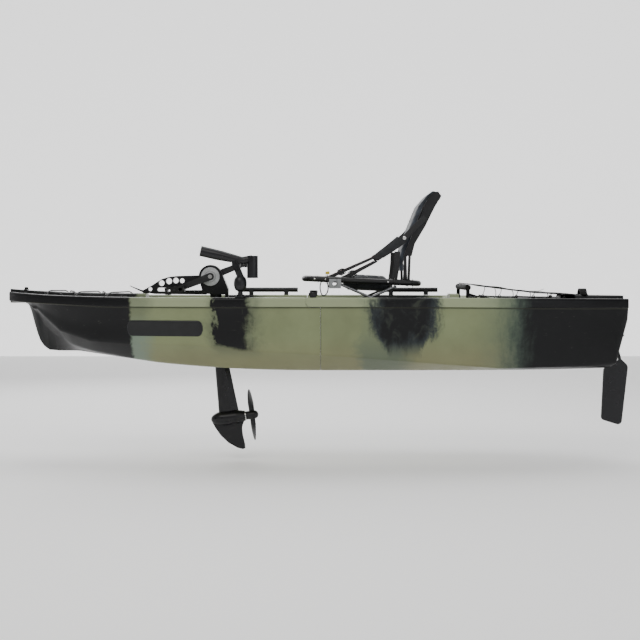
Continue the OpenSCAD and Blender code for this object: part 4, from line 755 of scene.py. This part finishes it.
for side in (-1, 1):
    c = prism(circle(0, 0, 0.0243), -0.06, 0.06)
    c.rotation_euler = (0, ROD_TILT, 0)
    c.location = (0.79, side * ROD_Y, side_deck_z(0.79))
    bpy.context.view_layer.update()
    cut(stern, [c])
dressed(smooth(stern), HULL, "stern_hull", "stern_section")

# foam gasket in the seam between the sections
gasket = hull_loft("seam_gasket", [BOW_END + 0.0004, STERN_START - 0.0004], inset=0.002)
dressed(gasket, FOAM, "stern_hull", slot="stern_section")

# ------------------------------------------------------------------ shape helpers


def spline(points, per=6, cyclic=False):
    """Smooth curve through the points."""
    pts = [Vector(p) for p in points]
    n = len(pts)
    out = []
    for i in range(n if cyclic else n - 1):
        if cyclic:
            p0, p1, p2, p3 = pts[i - 1], pts[i], pts[(i + 1) % n], pts[(i + 2) % n]
        else:
            p0, p1, p2, p3 = pts[max(0, i - 1)], pts[i], pts[i + 1], pts[min(n - 1, i + 2)]
        for k in range(per):
            t = k / per
            out.append(0.5 * (2 * p1 + (p2 - p0) * t + (2 * p0 - 5 * p1 + 4 * p2 - p3) * t ** 2
                              + (3 * p1 - p0 - 3 * p2 + p3) * t ** 3))
    if not cyclic:
        out.append(pts[-1])
    return out


def round_section(r, n=10):
    ring = [(r * math.cos(2 * math.pi * k / n), r * math.sin(2 * math.pi * k / n)) for k in range(n)]
    return lambda s: ring


def strap_section(thick, wide_start, wide_end=None):
    """Flat webbing with rounded edges: thickness along the side direction, width across it."""
    def ring(s):
        w = (wide_start + ((wide_end or wide_start) - wide_start) * s) / 2
        t = thick / 2
        return [(t, -w + t), (t, w - t), (0.6 * t, w - 0.3 * t), (0, w), (-0.6 * t, w - 0.3 * t),
                (-t, w - t), (-t, -w + t), (-0.6 * t, -w + 0.3 * t), (0, -w), (0.6 * t, -w + 0.3 * t)]
    return ring


def sweep(name, path, section, cyclic=False, side=None):
    """Closed piece swept along a path; with a side direction its sections don't twist."""
    path = [Vector(p) for p in path]
    n = len(path)
    verts, last = [], None
    for i, p in enumerate(path):
        a = path[i - 1] if cyclic or i else p
        b = path[(i + 1) % n] if cyclic or i < n - 1 else p
        t = (b - a).normalized()
        u = Vector(side) if side is not None else last
        if u is None:
            u = Vector((0, 0, 1)).cross(t) if abs(t.z) < 0.9 else Vector((1, 0, 0)).cross(t)
        u = (u - t * u.dot(t)).normalized()
        last = u
        v = t.cross(u)
        ring = section(i / max(1, n - 1))
        verts += [p + u * x + v * y for x, y in ring]
    m = len(ring)
    faces = [(i * m + k, i * m + (k + 1) % m, ((i + 1) % n) * m + (k + 1) % m, ((i + 1) % n) * m + k)
             for i in range(n if cyclic else n - 1) for k in range(m)]
    if not cyclic:
        faces += [tuple(range(m)), tuple(range((n - 1) * m, n * m))]
    obj = mesh_object(name, verts, faces, sharp=50)
    bm = bmesh.new()
    bm.from_mesh(obj.data)
    bmesh.ops.recalc_face_normals(bm, faces=bm.faces)
    bm.to_mesh(obj.data)
    bm.free()
    return obj


def lathe(name, profile, place, axis, n=24):
    """Turned piece from (radius, height) pairs along an axis."""
    axis = Vector(axis).normalized()
    u = axis.orthogonal().normalized()
    v = axis.cross(u)
    place = Vector(place)
    verts = [place + axis * h + (u * math.cos(2 * math.pi * k / n) + v * math.sin(2 * math.pi * k / n)) * r
             for r, h in profile for k in range(n)]
    faces = [(i * n + k, i * n + (k + 1) % n, (i + 1) * n + (k + 1) % n, (i + 1) * n + k)
             for i in range(len(profile) - 1) for k in range(n)]
    faces += [tuple(reversed(range(n))), tuple(range((len(profile) - 1) * n, len(profile) * n))]
    return mesh_object(name, verts, faces, sharp=35)


def surface(name, nu, nv, point, thick):
    """Sheet over a grid of points, given a thickness."""
    verts = [point(i / nu, j / nv) for i in range(nu + 1) for j in range(nv + 1)]
    faces = [(i * (nv + 1) + j, (i + 1) * (nv + 1) + j, (i + 1) * (nv + 1) + j + 1, i * (nv + 1) + j + 1)
             for i in range(nu) for j in range(nv)]
    obj = mesh_object(name, verts, faces, sharp=60)
    mod = obj.modifiers.new("thickness", "SOLIDIFY")
    mod.thickness = thick
    mod.offset = 0
    return settle(obj)


def joined(name, parts):
    """One piece from several, in place."""
    bm = bmesh.new()
    for p in parts:
        bm.from_mesh(p.data)
    mesh = bpy.data.meshes.new(name)
    bm.to_mesh(mesh)
    bm.free()
    for p in parts:
        bpy.data.objects.remove(p)
    obj = new_object(name, mesh)
    mesh.polygons.foreach_set("use_smooth", [True] * len(mesh.polygons))
    mesh.set_sharp_from_angle(angle=math.radians(45))
    return obj


def puffed(obj, voxel, pressure, cap, limit=None):
    """Stuffed piece: remeshed, blown up as cloth, and held to a largest movement."""
    mod = obj.modifiers.new("remesh", "REMESH")
    mod.mode = "VOXEL"
    mod.voxel_size = voxel
    settle(obj)
    start = [v.co.copy() for v in obj.data.vertices]
    cloth = obj.modifiers.new("cloth", "CLOTH")
    cloth.settings.use_pressure = True
    cloth.settings.uniform_pressure_force = pressure
    cloth.settings.effector_weights.gravity = 0
    cloth.settings.tension_stiffness = 18
    cloth.settings.compression_stiffness = 18
    for frame_number in range(1, 21):
        scene.frame_set(frame_number)
    settle(obj)
    scene.frame_set(1)
    for v, s in zip(obj.data.vertices, start):
        d = v.co - s
        if d.length > cap:
            v.co = s + d * (cap / d.length)
    mod = obj.modifiers.new("fine", "SUBSURF")
    mod.levels = mod.render_levels = 1
    settle(obj)
    if limit:
        for v in obj.data.vertices:
            v.co.y = max(-limit, min(limit, v.co.y))
    return smooth(obj, 60)


def tree_of(obj):
    obj.data.calc_loop_triangles()
    return BVHTree.FromPolygons([v.co for v in obj.data.vertices],
                                [t.vertices for t in obj.data.loop_triangles])


def groove(obj, share):
    """Sinks seams: share gives a vertex's depth in metres from its place and normal."""
    moves = [(v.co.copy(), v.normal.copy()) for v in obj.data.vertices]
    for v, (co, no) in zip(obj.data.vertices, moves):
        v.co = co - no * share(co, no)
    obj.data.update()
    return obj


def bell(x, width):
    return math.exp(-(x / width) ** 2)


# ------------------------------------------------------------------ badge on the bow sides

for side, name in ((-1, "badge_port"), (1, "badge_starboard")):
    tree = tree_of(bow)
    cx, half_l, cz, half_h, r = -0.740, 0.182, 0.213, 0.036, 0.026

    def on_side(x, z, out):
        place, normal, _, _ = tree.ray_cast(Vector((x, side * 1.0, z)), Vector((0, -side, 0)))
        return place + normal * out

    def badge_point(u, v):
        dx = (2 * u - 1) * half_l
        over = max(0, abs(dx) - (half_l - r))
        h = half_h - r + math.sqrt(max(0, r * r - over * over))
        return on_side(cx + dx, cz + (2 * v - 1) * h, 0.0012)

    plate = surface(name, 60, 12, badge_point, 0.0016)
    dressed(plate, BADGE, "bow_hull", slot="bow_section")
    rim = [badge_point(i / 60, 1) for i in range(61)] + [badge_point(i / 60, 0) for i in range(60, -1, -1)]
    rim = [p for i, p in enumerate(rim) if i == 0 or (p - rim[i - 1]).length > 0.0005]
    edge = sweep(name + "_rim", rim, round_section(0.0016, 8), cyclic=True)
    dressed(edge, GREY_PLASTIC, "bow_hull", slot="bow_section")

# ------------------------------------------------------------------ deck cords

SEAT_GAP = 0.0005


def eye_y(x):
    return ledge_out(x) - 0.014


def deck_z(x, y):
    table = [(0, centre_top(x)), (console_edge(x), centre_top(x)), (console_foot(x), floor_top(x)),
             (floor_out(x), floor_top(x)), (ledge_in(x), side_deck_z(x)), (ledge_out(x), side_deck_z(x)),
             (gunwale_in(x), gunwale_z(x)), (half_beam(x), gunwale_z(x))]
    return lookup(abs(y), table)


def eye_point(x, side):
    return Vector((x, side * eye_y(x), deck_z(x - 0.01, ledge_in(x - 0.01) + 0.001) + SEAT_GAP + 0.0095))


def knot(name, place, size=0.0026, r=0.0031):
    place = Vector(place)
    path = []
    for k in range(48):
        t = 2 * math.pi * k / 48
        path.append(place + size * Vector((math.sin(t) + 2 * math.sin(2 * t),
                                           math.cos(t) - 2 * math.cos(2 * t), -1.3 * math.sin(3 * t))))
    return sweep(name, path, round_section(r, 8), cyclic=True)


def bungee(name, eyes, lift, body, node):
    path = []
    for (xa, sa), (xb, sb) in zip(eyes, eyes[1:]):
        a, b = eye_point(xa, sa), eye_point(xb, sb)
        for k in range(16):
            t = k / 16
            m = min(1, 1.6 * math.sin(math.pi * t))
            path.append(a.lerp(b, t) + Vector((0, 0, lift * m * (2 - m))))
    path.append(eye_point(*eyes[-1]))
    line = sweep(name, path, round_section(0.0032, 10))
    dressed(line, BRAID, body, node)
    for end, tag in ((path[0], "a"), (path[-1], "b")):
        tied = knot(name + "_knot_" + tag, end + Vector((0, 0, 0.002)))
        dressed(tied, BRAID, body, slot=node)


BOW_EYES = [(-BOW_LEN + 0.195 + 0.078 * i, -1 if i % 2 == 0 else 1) for i in range(6)]
STERN_EYES = [(TANK_X + (0.032 if i == 0 else 0.070 + 0.085 * i), -1 if i % 2 == 0 else 1)
              for i in range(6)]
bungee("bow_deck_bungee", BOW_EYES, CROWN + 0.0048, "bow_hull", "bow_bungee")
bungee("tank_well_bungee", STERN_EYES, 0, "stern_hull", "stern_bungee")

# ------------------------------------------------------------------ cargo cover

COVER_HALF, BAR_X, BAR_Z = 0.216, 0.714, 0.406
COVER_LINE = [(BAR_X, BAR_Z + 0.0175), (BAR_X + 0.018, BAR_Z + 0.0155),
              (1.060, gunwale_z(1.060) + 0.0265), (1.260, deck_z(1.260, 0) + SEAT_GAP + 0.0025)]


def cover_point(u, v):
    x = lerp(COVER_LINE[0][0], COVER_LINE[-1][0], u)
    y = (2 * v - 1) * COVER_HALF
    z = lookup(x, COVER_LINE)
    free = eased(x, 0.74, 0.80) * (1 - eased(x, 1.16, 1.24))
    sag = 0.0035 * math.sin(math.pi * v) * free
    pull = 0.0016 * math.sin(9 * math.pi * u) * abs(2 * v - 1) ** 2
    fold = 0.0013 * math.sin(17 * (x - 0.7) + 31 * y) * free
    return Vector((x, y, z - sag + free * pull + fold))


cover = surface("cover_sheet", 70, 44, cover_point, 0.0016)
dressed(cover, COVER, "stern_hull", "cargo_cover")
border = ([cover_point(i / 60, 0) for i in range(61)] + [cover_point(1, j / 40) for j in range(1, 41)]
          + [cover_point(1 - i / 60, 1) for i in range(1, 61)]
          + [cover_point(0, 1 - j / 40) for j in range(1, 40)])
hem = sweep("cover_hem", border, round_section(0.0026, 8), cyclic=True)
dressed(hem, STRAP, "stern_hull", slot="cargo_cover")
bands = []
for i, v in enumerate((0.22, 0.78)):
    line = [cover_point(k / 50, v) + Vector((0, 0, 0.0018)) for k in range(51)]
    bands.append(sweep(f"cover_band_{i}", line, strap_section(0.0016, 0.025), side=(0, 0, 1)))
    dressed(bands[-1], STRAP, "stern_hull", slot="cargo_cover")
tab = spline([(0.985, -0.217, 0.388), (1.02, -0.2185, 0.3845), (1.055, -0.219, 0.388), (1.085, -0.219, 0.399)], 8)
tail = sweep("cover_pull_tab", tab, strap_section(0.0016, 0.016, 0.010), side=(0, 0, 1))
dressed(tail, STRAP, "stern_hull", slot="cargo_cover")
for side, tag in ((-1, "port"), (1, "starboard")):
    for i, x in enumerate((0.845, 0.930, 1.015, 1.100, 1.185)):
        u = (x - COVER_LINE[0][0]) / (COVER_LINE[-1][0] - COVER_LINE[0][0])
        top = cover_point(u, (side + 1) / 2) + Vector((0, -side * 0.012, 0.001))
        foot = eye_point(x, side) + Vector((0, 0, 0.006))
        mid = top.lerp(foot, 0.5) + Vector((0.004, 0, 0.002))
        tie = sweep(f"cover_tie_{tag}_{i}", spline([top, mid, foot], 8), round_section(0.0018, 8))
        dressed(tie, BRAID, "stern_hull", slot="cargo_cover")
        ring = [top + Vector((0.0052 * math.cos(a), 0.0052 * math.sin(a), 0.0004))
                for a in [2 * math.pi * k / 20 for k in range(20)]]
        eyelet = sweep(f"cover_eyelet_{tag}_{i}", ring, round_section(0.0014, 8), cyclic=True)
        dressed(eyelet, STEEL, "stern_hull", slot="cargo_cover")

# ------------------------------------------------------------------ seat

TUBE_Y, TUBE_R, PIVOT_X, BACK_Y, PLATE_W = 0.216, 0.014, 0.424, 0.190, 0.014


def seat_z(x):
    return (450 - 25 * (x * 1000 + 90) / 584) / 1000


PIVOT = Vector((PIVOT_X, 0, seat_z(PIVOT_X)))

# cushion: crowned pad with sewn channels and piping
CX0, CX1, CHALF = 0.105, 0.351, 0.198


def pad_outline(inset):
    top, low = 0.026 - inset, -0.046 + inset
    x0, x1 = CX0 + inset, CX1 - inset
    return [(x0 + 0.014, seat_z(x0) + low), (x0, seat_z(x0) + low + 0.016), (x0, seat_z(x0) + top - 0.018),
            (x0 + 0.022, seat_z(x0) + top), (x1 - 0.022, seat_z(x1) + top), (x1, seat_z(x1) + top - 0.018),
            (x1, seat_z(x1) + low + 0.016), (x1 - 0.014, seat_z(x1) + low)]


cushion = prism(pad_outline(0.006), -CHALF + 0.009, CHALF - 0.009, "y")
cushion.name = "seat_pad"
bevel = cushion.modifiers.new("round", "BEVEL")
bevel.width, bevel.segments = 0.011, 3
settle(cushion)
puffed(cushion, 0.006, 4.0, 0.010, limit=0.1975)
CHANNELS = [0.166, 0.228, 0.290]
for v in cushion.data.vertices:
    if v.co.z < seat_z(v.co.x) - 0.040:
        v.co.z = max(v.co.z, seat_z(v.co.x) - 0.046)


def cushion_seams(co, no):
    if no.z < 0.35:
        side_fold = 0.0012 * math.sin(210 * co.x + 5 * math.sin(40 * co.z)) * bell(co.z - seat_z(co.x) + 0.01, 0.02)
        return side_fold if abs(no.z) < 0.5 else 0
    across = min(abs(co.x - c) for c in CHANNELS)
    crease = 0.0007 * math.sin(160 * co.y + 9 * math.sin(70 * co.x))
    return 0.0058 * bell(across, 0.0042) + crease * bell(across, 0.016)


groove(cushion, cushion_seams)
dressed(cushion, CLOTH, "seat_base", "seat_cushion")
tree = tree_of(cushion)
centre = Vector(((CX0 + CX1) / 2, 0, 0))
for tag, lift in (("upper", 0.015), ("lower", -0.034)):
    loop = []
    for k in range(140):
        a = 2 * math.pi * k / 140
        d = Vector((math.cos(a) * 0.13, math.sin(a) * 0.2, 0))
        n = 7
        scale = (abs(math.cos(a)) ** n + abs(math.sin(a)) ** n) ** (-1 / n)
        x = centre.x + d.x * scale
        target = Vector((centre.x + (x - centre.x) * 0.6, d.y * scale * 0.6, seat_z(x) + lift))
        start = Vector((centre.x + (x - centre.x) * 1.6, d.y * scale * 1.6, seat_z(x) + lift))
        hit, _, _, _ = tree.ray_cast(start, (target - start).normalized())
        if hit is not None:
            loop.append(Vector((hit.x, max(-0.197, min(0.197, hit.y)), hit.z)))
    cord = sweep(f"cushion_piping_{tag}", loop, round_section(0.0020, 8), cyclic=True)
    dressed(cord, SEAM, "seat_base", slot="seat_cushion")

# sling ahead of and behind the cushion, laced round the tubes
for tag, x0, x1, inset in (("front", -0.0475, 0.1045, 0.055), ("rear", 0.3515, 0.4655, 0.030)):
    half = 0.2015 - inset

    def sling_point(u, v, x0=x0, x1=x1, half=half):
        x = lerp(x0, x1, u)
        y = (2 * v - 1) * half * (1 - 0.035 * math.sin(math.pi * u))
        z = seat_z(x) - 0.0016 * math.sin(math.pi * u) * math.sin(math.pi * v)
        return Vector((x, y, z + 0.0005 * math.sin(40 * math.pi * v) * (1 - 2 * abs(u - 0.5))))

    pan = surface(f"sling_{tag}", 24, 60, sling_point, 0.0018)
    if tag == "front":
        dressed(pan, SLING, "seat_base", "seat_pan")
    else:
        dressed(pan, SLING, "seat_base", slot="seat_pan")
    edge = ([sling_point(i / 20, 0) for i in range(21)] + [sling_point(1, j / 40) for j in range(1, 41)]
            + [sling_point(1 - i / 20, 1) for i in range(1, 21)]
            + [sling_point(0, 1 - j / 40) for j in range(1, 40)])
    binding = sweep(f"sling_{tag}_binding", edge, round_section(0.0024, 8), cyclic=True)
    dressed(binding, STRAP, "seat_base", slot="seat_pan")
    for side, s_tag in ((-1, "port"), (1, "starboard")):
        for i, x in enumerate((-0.010, 0.030, 0.082) if tag == "front" else (0.362, 0.450)):
            hold = Vector((x, side * (half - 0.010), seat_z(x)))
            ring = [Vector((x, side * (TUBE_Y + 0.0158 * math.cos(a)), seat_z(x) + 0.0158 * math.sin(a)))
                    for a in [math.radians(-110 + 22 * k) for k in range(11)]]
            lace = spline([hold + Vector((0, 0, -0.003))] + ring + [hold + Vector((0, 0, 0.003))], 4, True)
            loop = sweep(f"sling_lace_{tag}_{s_tag}_{i}", lace, strap_section(0.0014, 0.012),
                         cyclic=True, side=(1, 0, 0))
            dressed(loop, STRAP, "seat_base", slot="seat_pan")

# back rest fabric: quilted pad between the side plates
BACK_FRONT = [(-31, 55), (-38, 100), (-22, 170), (12, 260), (34, 315), (60, 378), (100, 425), (126, 446),
              (142, 446)]
BACK_REAR = [(142, 438), (126, 430), (112, 416), (76, 370), (50, 310), (28, 252), (-4, 164), (-20, 98),
             (-14, 55)]
outline = [(PIVOT.x + a / 1000, PIVOT.z + b / 1000) for a, b in BACK_FRONT + BACK_REAR]
panel = prism(outline, -0.1785, 0.1785, "y")
panel.name = "back_pad"
for bar_x, bar_z, bar_r in ((8, 182, 8), (142, 418, 20)):
    c = prism(circle(PIVOT.x + bar_x / 1000, PIVOT.z + bar_z / 1000, (bar_r + 1.5) / 1000, 32),
              -0.25, 0.25, "y")
    cut(panel, [c])
puffed(panel, 0.0045, 2.4, 0.0035, limit=0.182)
BACK_SEAMS = [0.105, 0.155, 0.205, 0.255, 0.305, 0.352, 0.398]


def back_seams(co, no):
    if abs(no.y) > 0.5:
        return 0
    h = co.z - PIVOT.z
    across = min(abs(h - s) for s in BACK_SEAMS)
    edge = 0.0022 * bell(abs(co.y) - 0.150, 0.0035)
    pucker = 0.0006 * math.sin(150 * co.y + 6 * math.sin(60 * h)) * bell(across, 0.012)
    return 0.0032 * bell(across, 0.0036) * (1 if abs(co.y) < 0.150 else 0.15) + edge + pucker


groove(panel, back_seams)
dressed(panel, BACK_CLOTH, "seat_back", "seat_back_fabric")

# webbing: side straps from the back rest to the seat front, and the hanging loop
FORK = (0.272, seat_z(0.272) + 0.112)
KNOT = (PIVOT.x - 0.014, PIVOT.z + 0.218)


def strap(name, pts, thick, w0, w1, y, body=None, blend=None, material=STRAP, per=8, bow=0.0):
    path = spline([(a, y, b) for a, b in pts], per)
    n = len(path) - 1
    path = [p + Vector((0, 0, -bow * math.sin(math.pi * i / n))) for i, p in enumerate(path)]
    obj = sweep(name, path, strap_section(thick, w0, w1), side=(0, 1, 0))
    obj.data.materials.clear()
    obj.data.materials.append(material)
    if blend:
        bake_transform(obj)
    else:
        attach(obj, body)
    return obj


for side, tag in ((-1, "port"), (1, "starboard")):
    y = side * 0.200
    low, high = (FORK[0], 0, FORK[1]), (KNOT[0] - 0.02, 0, KNOT[1])
    band = strap(f"strap_band_{tag}", [(KNOT[0] + 0.104, KNOT[1] + 0.101), (KNOT[0] + 0.05, KNOT[1] + 0.052),
                                       KNOT, (lerp(KNOT[0], FORK[0], 0.5), lerp(KNOT[1], FORK[1], 0.5) - 0.003),
                                       FORK], 0.0026, 0.026, 0.032, y, blend=(low, high))
    wide = strap(f"strap_pad_{tag}", [KNOT, (lerp(KNOT[0], FORK[0], 0.45), lerp(KNOT[1], FORK[1], 0.45) - 0.003),
                                      (lerp(KNOT[0], FORK[0], 0.82), lerp(KNOT[1], FORK[1], 0.82) - 0.002)],
                 0.0046, 0.046, 0.034, y, blend=(low, high), material=PAD_CLOTH)
    if side < 0:
        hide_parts("side_straps")
    for i, (x1, w1, off) in enumerate(((0.036, 0.016, 0.012), (0.112, 0.018, -0.012))):
        pts = [(FORK[0] + 0.006, FORK[1] + off), (lerp(FORK[0], x1, 0.5), lerp(FORK[1] + off, seat_z(x1) + 0.006, 0.5)),
               (x1, seat_z(x1) + 0.006)]
        strap(f"strap_tail_{tag}_{i}", pts, 0.0022, 0.010, w1, y, body="seat_base", bow=0.002)
        for s in (-1, 1):
            edge = [(a, b + s * lerp(0.0048, w1 / 2 - 0.0006, k / 2)) for k, (a, b) in enumerate(pts)]
            path = [p + Vector((0, 0, -0.002 * math.sin(math.pi * j / 16)))
                    for j, p in enumerate(spline([(a, y - side * 0.0008, b) for a, b in edge], 8))]
            piping = sweep(f"strap_edge_{tag}_{i}_{'low' if s < 0 else 'high'}", path, round_section(0.0009, 6))
            dressed(piping, EDGE, "seat_base", slot="side_straps")
        # ladder-lock buckle and the loop round the frame tube
        share = 0.30
        bx, bz = lerp(x1, FORK[0], share), lerp(seat_z(x1) + 0.006, FORK[1] + off, share)
        d = Vector((FORK[0] - x1, 0, FORK[1] + off - seat_z(x1) - 0.006)).normalized()
        n = Vector((-d.z, 0, d.x))
        frame_path = [Vector((bx, y, bz - 0.0015)) + d * a + n * b for a, b in
                      ((-0.014, -0.0125), (0.014, -0.0125), (0.014, 0.0125), (-0.014, 0.0125))]
        ring = []
        for k in range(4):
            a, b = frame_path[k], frame_path[(k + 1) % 4]
            ring += [a.lerp(b, t) for t in (0.12, 0.5, 0.88)]
        parts = [sweep("b", ring, round_section(0.0026, 8), cyclic=True)]
        for a in (-0.005, 0.005):
            c = Vector((bx, y, bz - 0.0015)) + d * a
            parts.append(sweep("b", [c - n * 0.0125, c, c + n * 0.0125], round_section(0.0019, 8)))
        dressed(joined(f"buckle_{tag}_{i}", parts), SATIN_PLASTIC, "seat_base", slot="side_straps")
        around = [Vector((x1, side * (TUBE_Y + 0.0154 * math.cos(a)), seat_z(x1) + 0.0154 * math.sin(a)))
                  for a in [2 * math.pi * k / 36 for k in range(36)]]
        wrap = sweep(f"strap_wrap_{tag}_{i}", around, strap_section(0.0020, 0.020), cyclic=True, side=(1, 0, 0))
        dressed(wrap, STRAP, "seat_base", slot="side_straps")
    strap(f"strap_stay_{tag}", [(0.376, seat_z(0.376) + 0.150), (0.372, seat_z(0.376) + 0.08),
                                (0.362, seat_z(0.362) + 0.004)], 0.0026, 0.028, 0.026, y,
          blend=((0.362, 0, seat_z(0.362) + 0.01), (0.376, 0, seat_z(0.376) + 0.145)))
    disc = lathe(f"strap_rivet_{tag}", [(0.001, 0.0034), (0.005, 0.0030), (0.0085, 0.0016), (0.009, 0.0),
                                        (0.001, 0.0)][::-1], (KNOT[0], y + side * 0.0015, KNOT[1]), (0, side, 0))
    dressed(disc, STEEL, "seat_back", slot="side_straps")
    for i, x in enumerate((-0.026, 0.028, 0.095, 0.330)):
        head = lathe(f"tube_rivet_{tag}_{i}", [(0.0045, -0.002), (0.0045, 0.0), (0.0038, 0.0014), (0.002, 0.0022),
                                               (0.0002, 0.0025)], (x, side * (TUBE_Y + TUBE_R - 0.0006), seat_z(x)),
                     (0, side, 0))
        dressed(head, STEEL, "seat_base", slot="seat_brackets")

flag = sweep("yellow_tab", spline([(0.036, -0.2025, 0.4835), (0.0365, -0.2035, 0.478), (0.036, -0.203, 0.4705)], 5),
             strap_section(0.0014, 0.018, 0.022), side=(0, 1, 0))
dressed(flag, YELLOW, "seat_base", slot="side_straps")
LOOP_Z = seat_z(0.020) - TUBE_R - 0.026
hang = [Vector((0.020 + 0.0195 * math.cos(a), -0.1905 + 0.002 * math.sin(a), LOOP_Z + 0.0395 * math.sin(a)
                - 0.0015 * math.cos(3 * a))) for a in [2 * math.pi * k / 48 for k in range(48)]]
verts = []
for k, p in enumerate(hang):
    t = (hang[(k + 1) % 48] - hang[k - 1]).normalized()
    n = t.cross(Vector((0, 1, 0))).normalized()
    for a, b in strap_section(0.0056, 0.0215)(0):
        verts.append(p + n * a + Vector((0, 1, 0)) * b)
faces = [(k * 10 + j, k * 10 + (j + 1) % 10, ((k + 1) % 48) * 10 + (j + 1) % 10, ((k + 1) % 48) * 10 + j)
         for k in range(48) for j in range(10)]
ring = mesh_object("hanging_loop", verts, faces, sharp=50)
dressed(ring, STRAP, "seat_base", "seat_loop")

# ------------------------------------------------------------------ propeller

RAKE = math.radians(7)
DRIVE = Vector((-0.545, 0, 0.458))


def in_drive(x, y, z):
    z -= 0.712
    return DRIVE + Vector((x * math.cos(RAKE) - z * math.sin(RAKE), y,
                           x * math.sin(RAKE) + z * math.cos(RAKE)))


axis = in_drive(1, 0, 0) - in_drive(0, 0, 0)
hub_profile = [(0.0205, 0.0892), (0.0212, 0.0905), (0.022, 0.109)]
hub_profile += [(0.022 * math.cos(math.radians(a)) + 0.0001, 0.127 + 0.024 * math.sin(math.radians(a)))
                for a in range(0, 91, 6)]
hub = lathe("prop_hub", hub_profile, in_drive(0, 0, 0), axis, 40)
blade_parts = [hub]
for turn in (1, -1):
    rings = []
    for i in range(25):
        s = i / 24
        r = lerp(0.014, 0.1295, s)
        chord = lerp(0.028, 0.044, eased(s, 0.0, 0.5)) * math.sqrt(max(0.02, 1 - max(0, (s - 0.62) / 0.39) ** 2.2))
        phi = math.atan2(2 * math.pi * r, 0.30)
        thick = lerp(0.0062, 0.0018, s)
        skew = 0.006 * s * s
        ring = []
        for k in range(16):
            a = 2 * math.pi * k / 16
            c = math.cos(a) * chord / 2 - skew
            h = math.sin(a) * thick / 2 * (1.15 - 0.35 * math.cos(a)) - 0.0012 * (1 - (2 * c / 0.05) ** 2)
            x = 0.119 + c * math.cos(phi) - h * math.sin(phi)
            y = turn * (c * math.sin(phi) + h * math.cos(phi))
            ring.append(in_drive(x, y, turn * r))
        rings += ring
    faces = [(i * 16 + k, i * 16 + (k + 1) % 16, (i + 1) * 16 + (k + 1) % 16, (i + 1) * 16 + k)
             for i in range(24) for k in range(16)]
    faces += [tuple(range(16)), tuple(range(24 * 16, 25 * 16))]
    blade = mesh_object("blade", rings, faces, sharp=70)
    bm = bmesh.new()
    bm.from_mesh(blade.data)
    bmesh.ops.recalc_face_normals(bm, faces=bm.faces)
    bm.to_mesh(blade.data)
    bm.free()
    blade_parts.append(blade)
dressed(joined("prop_blades", blade_parts), SATIN_PLASTIC, "prop_set", "propeller")

# ------------------------------------------------------------------ finishes on the CAD nodes

FINISH = {
    STEEL: ("joint_studs rudder_pin blade_bolt axle_bearings crank_axle crown_gear drive_shaft prop_shaft "
            "prop_ring"),
    DISC: "side_discs",
    ALLOY: "seat_struts",
    BRACKET: "seat_brackets",
    BLACK_ALLOY: "seat_rails cradle_bolt",
    TUBE: "bow_side_rail stern_side_rail seat_base_frame seat_back_frame",
    CRANK: "crank_port crank_starboard",
    GREY_PLASTIC: "bow_rail_saddles stern_rail_saddles rudder_gudgeons steering_base seat_runners",
    SATIN_PLASTIC: ("rod_base rod_post rod_cradle drive_housing gearcase drive_leg rudder_blade "
                    "arm_latch drive_arm"),
    RUBBER: "bow_handle stern_handle cover_bar",
    BLACK_PLASTIC: ("joint_knob_port joint_knob_starboard bow_pad_eyes stern_pad_eyes rod_tubes drain_plug "
                    "rudder_head steering_handle drive_base pedal_port pedal_starboard"),
    BRAID: "rudder_lines",
}
for material, names in FINISH.items():
    for name in names.split():
        for slot in nodes[name].material_slots:
            slot.material = material
